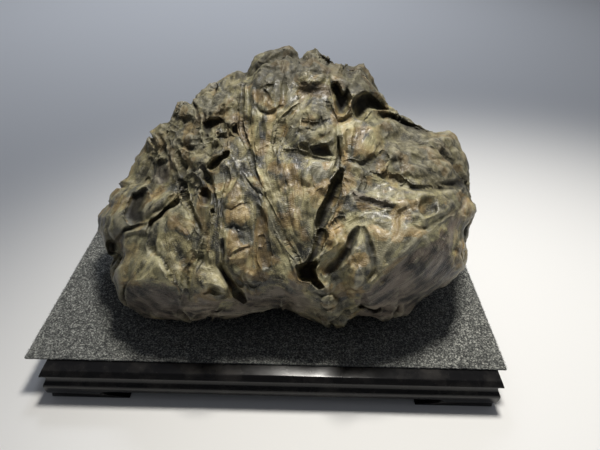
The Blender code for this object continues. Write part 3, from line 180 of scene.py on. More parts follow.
# Ridges: height, width of the slope on the left hand and on the right hand, points.
RIDGES = {
    "belly left": (6, 26, 30, [
        (108, 268), (118, 284), (134, 282), (150, 282), (178, 290), (205, 302), (236, 303)]),
    "belly right": (6, 26, 30, [(246, 286), (262, 284), (280, 282), (300, 292), (318, 300)]),
    "right arris": (19, 60, 62, [
        (345, 294), (369, 285), (382, 274), (397, 260), (412, 246), (434, 234), (448, 220), (460, 208)]),
    "shelf edge": (3.0, 14, 9, [(351, 190), (362, 193), (374, 197), (388, 201), (399, 204), (414, 208)]),
    "ledge lip": (1.6, 4, 14, [(384, 181), (398, 185), (410, 192), (430, 193), (452, 193)]),
    "blade": (1.8, 6, 7, [
        (250, 172), (258, 186), (265, 205), (273, 224), (283, 244), (291, 262), (293, 276)]),
    "thin left": (1.6, 5, 6, [(250, 190), (251, 208), (250, 226)]),
    "flake": (2.6, 9, 4, [(334, 182), (322, 187), (312, 193), (307, 201), (309, 210), (314, 216)]),
    "hole rim": (3.0, 5, 9, [(316, 274), (314, 264), (321, 255), (334, 248), (343, 240)]),
    "tan crest": (4.5, 8, 9, [(357, 246), (352, 258), (344, 266), (335, 277)]),
    "left finger": (3.8, 8, 9, [(146, 216), (153, 204), (164, 195), (178, 189), (186, 186)]),
    "knob rim": (1.6, 8, 10, [(250, 86), (262, 80), (274, 78), (285, 82)]),
    "left low lip": (3.8, 6, 22, [(118, 244), (126, 234), (138, 229), (148, 227)]),
    "facet edge": (3.8, 14, 14, [(160, 258), (170, 274), (178, 289), (182, 304)]),
    "right low crest": (3.0, 9, 7, [(458, 214), (451, 230), (449, 246), (452, 258), (459, 270)]),
    "flake two": (2.2, 6, 5, [(427, 231), (434, 224), (441, 219)]),
    "sunken top": (2.2, 5, 6, [(420, 194), (434, 191), (450, 194)]),
    "sunken left": (2.2, 5, 6, [(419, 217), (417, 206), (421, 195)]),
    "sunken low": (1.5, 5, 4, [(420, 221), (431, 217), (443, 212), (452, 205)]),
    "column": (3.0, 6, 5, [(343, 128), (344, 142), (343, 156)]),
    "upper shelf": (3.0, 10, 14, [(345, 104), (356, 95), (368, 88), (380, 86)]),
    "hollow rim": (3.0, 4, 6, [(134, 194), (139, 187), (147, 184), (151, 192), (149, 200)]),
    "mid ridge a": (3.0, 4, 4, [(198, 114), (200, 126), (203, 138), (205, 147)]),
    "mid ridge b": (3.0, 5, 5, [(205, 115), (212, 111), (220, 110), (230, 105)]),
    "mid ridge c": (2.6, 4, 4, [(218, 114), (224, 121), (231, 123), (239, 122)]),
    "mid ridge d": (3.0, 5, 5, [(209, 144), (215, 138), (220, 131), (226, 129)]),
    "corner ridge": (3.0, 5, 6, [(182, 175), (189, 173), (195, 173), (200, 180), (203, 187)]),
    "sharp light": (2.2, 7, 4, [(172, 223), (178, 227), (185, 232), (191, 240)]),
    "block rib a": (2.2, 5, 6, [(150, 232), (146, 246), (140, 258), (132, 270)]),
    "block rib b": (2.2, 6, 5, [(156, 258), (149, 270), (140, 280), (128, 288)]),
    "mid left rib": (2.6, 6, 6, [(214, 170), (212, 184), (214, 198), (210, 214), (208, 228)]),
    "lower rib": (2.2, 5, 6, [(203, 236), (205, 250), (209, 262), (212, 272)]),
    "almond rib": (2.2, 7, 6, [(192, 276), (200, 282), (212, 284), (224, 290), (236, 300)]),
    "braid rib a": (1.9, 3, 3, [(244, 80), (244, 94), (245, 108), (247, 120)]),
    "braid rib b": (1.9, 3, 3, [(250, 84), (251, 98), (251, 112), (252, 124)]),
    "light column": (2.2, 4, 4, [(274, 104), (277, 112), (275, 124), (272, 140)]),
    "cream rib": (2.2, 5, 5, [(258, 112), (258, 126), (256, 142), (254, 156)]),
    "jag rim": (2.6, 4, 4, [(328, 78), (334, 80), (340, 86), (344, 94)]),
    "pit arch": (3.0, 6, 4, [(352, 100), (358, 92), (367, 89), (377, 93), (386, 101)]),
    "diamond low rim": (2.2, 6, 4, [(318, 144), (328, 142), (336, 137), (341, 132)]),
    "bright line": (2.2, 4, 4, [(387, 158), (384, 166), (382, 173)]),
    "shelf step": (1.3, 6, 5, [(350, 212), (362, 216), (374, 217), (388, 221), (398, 217)]),
    "step rim": (1.3, 6, 5, [(344, 230), (352, 226), (358, 230), (356, 240)]),
    "bulge rib": (1.9, 6, 6, [(362, 268), (358, 280), (350, 290), (340, 296)]),
    "low flank rib": (2.2, 10, 9, [(452, 240), (440, 256), (424, 270), (404, 284), (388, 300)]),
    "low flank rib b": (1.9, 9, 8, [(458, 264), (444, 278), (426, 290), (408, 304)]),
    "belly rib": (1.5, 9, 7, [(132, 300), (160, 304), (190, 309), (216, 312)]),
}

# Swellings: middle, radii, turn in degrees, height, roundness (lower is boxier).
DOMES = {
    "recess fill": ((311, 84), (17, 7), 0, 3.5, 0.8),
    "tan lip": ((352, 194), (16, 30), 14, 2.5, 0.8),
    "diamond": ((309, 128), (30, 26), 20, 6, 0.9),
    "block E": ((364, 138), (22, 22), -25, 6, 0.8),
    "knob": ((266, 92), (18, 22), -10, 4, 0.8),
    "boss": ((182, 109), (11, 11), 0, 6, 0.6),
    "bulge": ((354, 280), (12, 17), 10, 7, 0.8),
    "ochre lump": ((464, 254), (9, 16), 5, 8, 0.7),
    "upper ochre lump": ((468, 211), (7, 13), 0, 7, 0.7),
    "upper right block": ((420, 154), (46, 30), 10, 5, 1.0),
    "left block": ((140, 270), (38, 34), 0, 7, 0.8),
    "almond": ((208, 288), (26, 15), 20, 6, 0.8),
    "mid left tan": ((236, 214), (15, 14), 0, 4, 0.8),
    "low left tan": ((238, 262), (15, 20), 0, 5, 0.8),
    "rough knob a": ((330, 306), (14, 12), 20, 5, 0.7),
    "rough knob b": ((322, 290), (14, 8), 0, 3, 0.7),
    "left upper mass": ((196, 150), (30, 40), 25, 4, 0.8),
    "summit": ((312, 66), (22, 18), 0, 4, 0.8),
    "summit right": ((360, 74), (16, 14), 20, 4, 0.8),
    "left lump a": ((152, 141), (8, 9), 0, 4, 0.7),
    "left lump b": ((154, 156), (8, 8), 0, 4, 0.7),
    "left lump c": ((161, 128), (7, 7), 0, 3.5, 0.7),
    "top lump a": ((197, 101), (6, 9), 0, 4, 0.7),
    "top lump b": ((208, 94), (7, 7), 0, 3, 0.7),
    "top lump c": ((190, 139), (6, 9), -15, 4, 0.7),
    "top lump d": ((222, 98), (9, 8), 0, 3, 0.7),
    "mid lump": ((217, 136), (10, 7), -40, 4, 0.7),
    "tan face": ((173, 160), (8, 20), 0, 3, 0.8),
    "tan boss": ((194, 158), (12, 11), 0, 4, 0.8),
    "summit lump a": ((262, 62), (9, 8), 0, 1.8, 0.7),
    "summit lump b": ((278, 56), (10, 9), 0, 1.8, 0.7),
    "summit lump c": ((316, 54), (9, 8), 0, 1.6, 0.7),
    "summit lump d": ((300, 76), (8, 7), 0, 1.5, 0.7),
    "summit lump e": ((318, 77), (9, 6), 0, 1.5, 0.7),
    "summit lump f": ((340, 70), (7, 8), 0, 1.6, 0.7),
    "centre lump": ((230, 194), (10, 14), 0, 3, 0.8),
    "low knob": ((248, 278), (8, 8), 0, 4, 0.7),
    "tan lump": ((200, 268), (9, 10), 0, 3.5, 0.8),
    "centre orange": ((332, 236), (11, 14), -25, 4, 0.8),
    "panel lump a": ((284, 182), (8, 13), -10, 2, 0.8),
    "panel lump b": ((306, 176), (8, 12), 0, 2, 0.8),
    "panel lump c": ((296, 222), (6, 14), -10, 2, 0.8),
    "right lump a": ((396, 150), (11, 10), 0, 3, 0.8),
    "right lump b": ((414, 148), (10, 8), 0, 3, 0.8),
    "right lump c": ((444, 142), (12, 9), 0, 3, 0.8),
    "right lump d": ((418, 170), (13, 8), 10, 3, 0.8),
    "right lump e": ((448, 168), (12, 8), 0, 3, 0.8),
}

# Tilted faces: middle, slope along u, slope along v, rise, softness of the edge, outline.
FACETS = {
    "almond face": ((212, 288), -0.04, 0.14, 0.5, 3, [
        (190, 275), (204, 277), (220, 283), (231, 293), (241, 306), (226, 304), (206, 300), (189, 300)]),
    "left block face": ((140, 262), 0.02, 0.16, 0.5, 4, [
        (120, 233), (148, 231), (156, 256), (166, 272), (176, 287), (148, 285), (122, 288), (113, 266)]),
    "panel": ((300, 205), 0.02, -0.05, 0, 6, [
        (274, 152), (300, 156), (334, 163), (333, 190), (322, 215), (317, 245), (303, 266), (285, 238),
        (268, 205), (256, 176)]),
    "right low face": ((420, 275), -0.05, 0.02, 0, 10, [
        (370, 288), (398, 262), (435, 236), (462, 210), (462, 240), (452, 268), (425, 298), (382, 318),
        (350, 312)]),
    "green facet": ((162, 274), 0.1, -0.05, 2, 4, [
        (158, 256), (148, 281), (166, 282), (179, 288), (171, 272)]),
}

# Fissures: half width, depth, width and depth of the shoulders that fall into it, points.
FISSURES = {
    "ledge upper": (1.0, 2.0, 4, 0.5, [
        (341, 163), (350, 160), (360, 163), (368, 170), (378, 173), (384, 175)]),
    "long diagonal upper": (1.8, 5, 9, 2, [
        (246, 70), (242, 84), (241, 98), (242, 113), (243, 132), (247, 146), (251, 160)]),
    "long diagonal middle": (1.7, 5, 6, 1.0, [(249, 146), (252, 160), (255, 172), (259, 181), (264, 191)]),
    "long diagonal lower": (1.0, 3.6, 5, 0.7, [
        (262, 188), (265, 198), (272, 212), (280, 227), (289, 243), (297, 257), (300, 266)]),
    "braid": (1.2, 2.6, 5, 0.6, [(249, 78), (247, 92), (247, 110), (248, 126), (250, 140)]),
    "blade left": (1.0, 2.2, 4, 0.5, [(240, 170), (245, 178), (251, 186), (257, 195), (262, 206)]),
    "wedge": (1.6, 7, 6, 1.2, [(342, 168), (340, 174), (338, 181)]),
    "right ledge": (1.6, 5.0, 5, 0.8, [
        (384, 175), (398, 179), (405, 184), (412, 187), (430, 188), (452, 188), (464, 186)]),
    "diamond left": (1.4, 3.9, 8, 1.5, [
        (302, 103), (293, 109), (284, 117), (278, 127), (276, 140), (277, 152)]),
    "diamond right": (1.2, 3.2, 7, 1.2, [(327, 101), (333, 114), (339, 126)]),
    "panel top": (1.0, 2, 6, 0.5, [(275, 151), (288, 151), (300, 153), (311, 157), (323, 159), (335, 161)]),
    "block E low": (1.4, 3.9, 7, 1.2, [(388, 137), (380, 147), (375, 156), (368, 164)]),
    "block E top": (1.2, 3.2, 8, 1.2, [(340, 124), (348, 118), (357, 113), (366, 110)]),
    "crack C": (3.0, 13, 9, 3, [(379, 113), (390, 115), (400, 120), (410, 126), (420, 129), (431, 133)]),
    "summit crack": (1.4, 3.5, 5, 1.0, [(319, 51), (323, 56), (329, 62), (338, 68)]),
    "summit groove": (1.4, 2.6, 9, 1.5, [(350, 62), (349, 74), (349, 88)]),
    "knob right": (1.3, 3.0, 8, 1.3, [(287, 62), (284, 76), (284, 90), (283, 104)]),
    "knob inner": (1.2, 2.6, 4, 0.6, [(260, 86), (265, 94), (271, 103)]),
    "knob under": (1.2, 2.6, 8, 1.2, [(254, 104), (260, 111), (267, 114), (277, 110), (284, 104)]),
    "boss under": (1.7, 4.5, 7, 1.2, [(171, 111), (176, 117), (184, 120), (191, 116)]),
    "left upper b": (1.8, 6, 7, 2, [(177, 147), (179, 158), (183, 168), (181, 178)]),
    "spine": (1.7, 8, 8, 2.5, [(180, 177), (183, 190), (185, 200), (192, 211), (196, 222), (200, 234)]),
    "left finger under": (2.2, 10, 8, 2.5, [(179, 196), (170, 206), (160, 215), (151, 222), (147, 233)]),
    "left low": (1.2, 3.9, 8, 1.5, [
        (149, 232), (150, 246), (156, 254), (163, 259), (168, 268), (174, 282)]),
    "left undercut": (2.0, 8, 8, 2, [(147, 224), (135, 226), (124, 230), (117, 240), (110, 250)]),
    "low split": (3.2, 16, 10, 4, [(219, 264), (224, 275), (231, 284), (238, 294), (245, 303)]),
    "low split top": (1.4, 3.9, 8, 1.8, [(222, 238), (223, 252), (222, 266)]),
    "left blocks": (1.3, 3.9, 9, 1.8, [
        (196, 256), (190, 264), (185, 270), (184, 280), (187, 288), (184, 298), (180, 309)]),
    "fork left": (4.2, 6, 11, 3.0, [
        (358, 226), (353, 236), (349, 248), (342, 258), (334, 266), (325, 274)]),
    "fork right": (3.4, 4, 10, 2.0, [
        (361, 226), (367, 236), (371, 248), (373, 260), (374, 270), (368, 284)]),
    "shelf crack": (1.3, 2.6, 7, 1.2, [
        (416, 205), (407, 208), (400, 212), (397, 219), (398, 227), (395, 235), (390, 243)]),
    "right boundary": (1.4, 3.2, 9, 2.1, [
        (466, 204), (457, 210), (447, 215), (438, 221), (428, 228), (418, 228), (410, 223)]),
    "ochre cap": (1.2, 3.2, 7, 1.2, [(325, 224), (332, 226), (338, 221), (344, 218)]),
    "mid left a": (1.5, 4.5, 8, 1.8, [(206, 112), (204, 124), (206, 138), (209, 152)]),
    "mid left b": (1.5, 4.5, 8, 1.8, [(223, 104), (221, 118), (222, 134), (226, 150)]),
    "mid left c": (1.4, 3.9, 8, 1.8, [(197, 170), (206, 178), (214, 190), (216, 206), (212, 222)]),
    "mid left d": (1.4, 3.9, 8, 1.8, [(226, 165), (229, 180), (224, 196), (222, 212), (223, 228)]),
    "mid left e": (1.2, 3.2, 7, 1.2, [(206, 228), (203, 244), (200, 258), (196, 272)]),
    "right rim": (1.2, 2.6, 8, 1.8, [(468, 176), (464, 190), (463, 204), (466, 216)]),
    "upright": (1.2, 7, 5, 1.2, [(339, 136), (339, 146), (338, 158), (335, 170)]),
    "boss right": (1.6, 6, 5, 1.5, [(193, 101), (196, 109), (198, 118), (196, 128), (195, 138)]),
    "boss left": (1.1, 3.2, 5, 0.9, [(160, 121), (168, 123), (176, 128), (180, 136)]),
    "left lumps a": (1.2, 3.2, 6, 1.2, [(150, 131), (158, 136), (163, 145), (160, 156)]),
    "left lumps b": (1.0, 2.6, 6, 1.2, [(166, 120), (170, 132), (172, 144), (170, 158)]),
    "left lumps c": (1.0, 2.6, 5, 0.9, [(142, 150), (150, 153), (157, 158)]),
    "under boss": (1.4, 3.2, 6, 1.2, [(176, 136), (181, 144), (187, 148), (195, 148), (201, 143)]),
    "mid slot": (1.1, 3.2, 5, 0.9, [(217, 133), (221, 136), (225, 139)]),
    "mid slot low": (1.6, 6, 5, 1.5, [(201, 168), (205, 174), (209, 181), (212, 190)]),
    "tan face left": (1.0, 2.6, 8, 1.5, [(166, 128), (168, 142), (170, 158), (168, 172)]),
    "light corner": (1.0, 2.6, 5, 1.2, [(182, 177), (190, 176), (195, 181), (199, 188)]),
    "hollow side": (2.0, 6, 6, 2, [(145, 176), (149, 184), (152, 195)]),
    "left facet": (1.0, 2.0, 6, 1.2, [(149, 231), (152, 243), (156, 254), (163, 260)]),
    "block split": (1.1, 3.2, 7, 1.2, [
        (192, 265), (188, 273), (187, 284), (187, 296), (184, 304), (180, 309)]),
    "almond crack": (1.0, 2.6, 6, 1.2, [(203, 294), (209, 291), (215, 287)]),
    "tan lump": (1.0, 2.0, 6, 1.2, [(190, 250), (196, 257), (203, 260), (207, 268)]),
    "knob line": (1.0, 2.3, 4, 0.9, [(265, 88), (269, 85), (272, 83)]),
    "summit left a": (1.0, 1.3, 6, 0.7, [(256, 58), (262, 66), (272, 70), (284, 68)]),
    "summit left b": (1.0, 1.3, 6, 0.6, [(284, 46), (285, 58), (281, 68), (283, 80)]),
    "summit mid": (1.0, 1.3, 6, 0.7, [(297, 52), (299, 64), (294, 74), (292, 82)]),
    "summit mid low": (1.0, 1.3, 5, 0.6, [(300, 72), (310, 70), (322, 72), (332, 74)]),
    "recess ledge": (1.1, 2.0, 4, 0.9, [(298, 92), (308, 89), (318, 91), (328, 89)]),
    "pit bridge": (1.4, 5, 6, 2, [(338, 122), (345, 119), (352, 116)]),
    "diamond crust a": (1.0, 1.6, 6, 0.9, [(291, 124), (301, 122), (312, 125), (324, 121), (333, 119)]),
    "diamond crust b": (1.0, 1.6, 6, 0.9, [(304, 104), (306, 116), (303, 130), (306, 142)]),
    "diamond crust c": (1.0, 1.6, 6, 0.9, [(318, 103), (320, 116), (325, 128), (322, 140)]),
    "block E inner": (1.0, 2.0, 8, 1.5, [(356, 118), (358, 130), (354, 142), (352, 156)]),
    "block E side": (1.0, 2.0, 7, 1.2, [(384, 122), (383, 134), (388, 146)]),
    "upper right a": (1.0, 2.0, 8, 1.2, [(388, 138), (402, 142), (416, 141), (430, 146), (446, 150)]),
    "upper right b": (1.0, 2.0, 8, 1.2, [(402, 128), (404, 142), (400, 156), (404, 172)]),
    "upper right c": (1.0, 2.0, 8, 1.2, [(428, 134), (426, 148), (432, 160), (430, 174)]),
    "upper right d": (1.0, 2.0, 8, 1.2, [(414, 156), (428, 160), (444, 158), (460, 160)]),
    "ledge a": (1.0, 1.6, 6, 0.9, [(366, 176), (364, 184), (360, 191)]),
    "ledge b": (1.0, 1.6, 6, 0.9, [(402, 184), (398, 192), (392, 200)]),
    "ledge c": (1.0, 1.4, 6, 0.8, [(340, 176), (348, 184), (352, 194), (348, 206)]),
    "under shelf": (1.2, 2.0, 6, 1.0, [(360, 198), (370, 201), (382, 204), (394, 208)]),
    "step a": (1.0, 1.3, 6, 0.8, [(342, 226), (352, 222), (360, 219), (366, 213)]),
    "step b": (1.0, 1.3, 6, 0.6, [(372, 222), (382, 228), (388, 234)]),
    "panel line a": (1.0, 1.3, 7, 0.9, [(288, 156), (284, 172), (288, 190), (286, 204)]),
    "panel line b": (1.0, 1.3, 7, 0.9, [(308, 158), (300, 176), (302, 196), (296, 214)]),
    "panel line c": (1.0, 1.3, 6, 0.9, [(318, 166), (312, 182), (314, 190)]),
    "column right": (1.0, 2.0, 5, 1.2, [(348, 128), (349, 142), (347, 158)]),
    "centre a": (1.0, 2.0, 7, 1.2, [(222, 206), (232, 210), (242, 205), (250, 203)]),
    "centre b": (1.0, 2.0, 7, 1.2, [(224, 228), (234, 226), (242, 231), (252, 229)]),
    "centre c": (1.0, 2.6, 6, 1.2, [(228, 257), (234, 254), (241, 250), (250, 247)]),
    "low knob": (1.0, 2.6, 6, 1.2, [(241, 272), (246, 282), (254, 287), (262, 283)]),
    "foot a": (1.0, 2.6, 6, 1.2, [(312, 292), (322, 296), (332, 294), (342, 300)]),
    "foot b": (1.0, 2.6, 6, 1.2, [(318, 306), (326, 310), (336, 308)]),
}

# Pits: depth, softness of the edge, outline.
PITS = {
    "black hole": (26, 5, [
        (297, 266), (307, 262), (316, 257), (320, 262), (316, 270), (318, 279), (326, 288), (318, 290),
        (310, 281), (299, 280)]),
    "pit A": (13, 4, [
        (330, 84), (338, 81), (343, 92), (347, 84), (350, 92), (348, 108), (344, 117), (337, 114),
        (333, 100)]),
    "pit B": (14, 4, [
        (352, 106), (356, 97), (364, 93), (374, 94), (384, 101), (390, 110), (380, 108), (372, 107),
        (366, 112), (362, 120), (355, 117)]),
    "under E": (4, 3, [
        (356, 163), (367, 160), (377, 153), (386, 144), (388, 156), (383, 171), (373, 171), (363, 168)]),
    "recess": (1.6, 6, [(294, 79), (312, 78), (330, 80), (334, 92), (330, 102), (310, 102), (298, 101)]),
    "hollow": (12, 6, [
        (130, 192), (146, 185), (149, 199), (143, 212), (145, 223), (131, 227), (123, 216), (126, 204)]),
    "panel pocket a": (3, 4, [(298, 144), (306, 142), (308, 152), (300, 153)]),
    "panel pocket b": (6, 3, [(310, 147), (328, 145), (333, 157), (314, 155)]),
    "sunken": (4, 4, [(423, 198), (440, 196), (438, 212), (426, 219), (419, 213)]),
    "right hollow": (8, 5, [(436, 184), (448, 179), (463, 176), (468, 184), (461, 191), (448, 189)]),
    "dark patch": (2, 5, [(234, 229), (252, 227), (254, 243), (243, 248), (236, 240)]),
    "pit c": (7, 2.5, [(195, 121), (198, 119), (198, 134), (195, 138)]),
    "pit d": (9, 4, [(202, 122), (209, 117), (221, 117), (223, 122), (214, 130), (208, 137), (203, 131)]),
    "pit e": (6, 2.5, [(232, 125), (238, 125), (238, 132), (233, 131)]),
    "pit f": (5, 2.5, [(184, 145), (191, 145), (190, 149), (185, 149)]),
    "pit g": (5, 2.5, [(199, 138), (202, 139), (203, 143), (200, 143)]),
    "diagonal pit": (12, 3, [
        (207, 166), (211, 160), (220, 154), (229, 149), (227, 156), (216, 166), (211, 170)]),
    "block pocket": (8, 4, [(200, 189), (209, 188), (212, 198), (208, 207), (200, 205)]),
    "rear pocket": (5, 5, [(156, 160), (165, 159), (170, 172), (168, 183), (160, 184), (154, 174)]),
    "hollow back": (6, 4, [(145, 177), (151, 178), (153, 190), (151, 194), (147, 188)]),
    "left crevice": (9, 5, [(104, 240), (117, 239), (120, 247), (114, 256), (107, 255)]),
    "small black": (6, 2, [(209, 209), (214, 208), (215, 214), (210, 215)]),
    "diamond slot": (6, 3, [(295, 105), (293, 113), (286, 120), (282, 124), (285, 115)]),
    "split foot": (5, 4, [(229, 274), (240, 276), (246, 290), (238, 290)]),
    "wedge": (14, 1.6, [
        (342, 172), (340, 182), (336, 195), (331, 208), (327, 221), (323, 230), (317, 228), (319, 214),
        (324, 203), (329, 192), (333, 182), (338, 175)]),
    "wedge tail": (12, 1.6, [
        (325, 228), (323, 240), (319, 252), (313, 262), (306, 270), (301, 268), (307, 259), (313, 249),
        (317, 238), (318, 227)]),
    "brown column": (2.5, 3, [
        (255, 202), (262, 206), (266, 222), (268, 238), (272, 256), (270, 268), (262, 270), (258, 256),
        (256, 236)]),
    "column pit": (4, 2.5, [(257, 236), (263, 234), (266, 240), (262, 248), (257, 247)]),
    "column slot": (3, 2, [(266, 250), (270, 254), (270, 262), (267, 260)]),
    "low hollow": (5, 5, [(208, 283), (218, 286), (226, 296), (214, 297), (206, 291)]),
}

# Strokes that only turn the streaks: strength, points.
STREAKS = {
    "lower right": (1.0, [(470, 218), (446, 240), (420, 262), (394, 284), (372, 306)]),
    "lower right low": (1.0, [(468, 250), (446, 274), (420, 294), (392, 312)]),
    "belly": (1.0, [(116, 296), (150, 306), (200, 313), (250, 306), (300, 304), (340, 320)]),
    "belly left": (0.8, [(112, 262), (122, 284), (140, 300)]),
    "left block": (1.0, [(150, 236), (138, 256), (126, 284)]),
    "left inner": (1.0, [(152, 232), (170, 256), (186, 280)]),
    "left rear": (0.8, [(132, 186), (114, 214), (104, 244)]),
    "finger": (1.0, [(182, 192), (164, 202), (150, 214)]),
    "upper left": (0.8, [(166, 124), (154, 150), (146, 180)]),
    "upper left in": (0.8, [(190, 106), (180, 136), (176, 168)]),
    "mid left": (0.8, [(222, 100), (208, 130), (196, 160)]),
    "mid left low": (0.8, [(236, 160), (222, 200), (214, 240), (206, 280)]),
    "centre": (0.8, [(240, 176), (242, 214), (250, 262)]),
    "blade": (0.8, [(254, 180), (272, 226), (288, 266)]),
    "panel left": (0.8, [(270, 160), (282, 196), (298, 250)]),
    "panel": (0.8, [(318, 166), (308, 200), (304, 250)]),
    "summit": (0.8, [(276, 50), (270, 90), (262, 140)]),
    "summit mid": (0.8, [(312, 52), (310, 80), (300, 110)]),
    "summit right": (0.8, [(360, 64), (366, 90), (384, 110)]),
    "diamond": (0.8, [(284, 140), (306, 118), (332, 108)]),
    "block E": (0.8, [(350, 156), (366, 132), (384, 116)]),
    "upper right": (1.0, [(392, 130), (420, 150), (460, 166)]),
    "upper right low": (1.0, [(380, 168), (420, 176), (464, 182)]),
    "ledge": (0.8, [(346, 176), (380, 186), (420, 196), (460, 200)]),
    "under ledge": (0.8, [(392, 206), (376, 222), (352, 246)]),
    "orange": (0.8, [(344, 222), (330, 240), (318, 262)]),
    "bulge": (0.8, [(366, 250), (354, 276), (346, 300)]),
    "grey green": (0.8, [(446, 222), (424, 236), (404, 254)]),
}

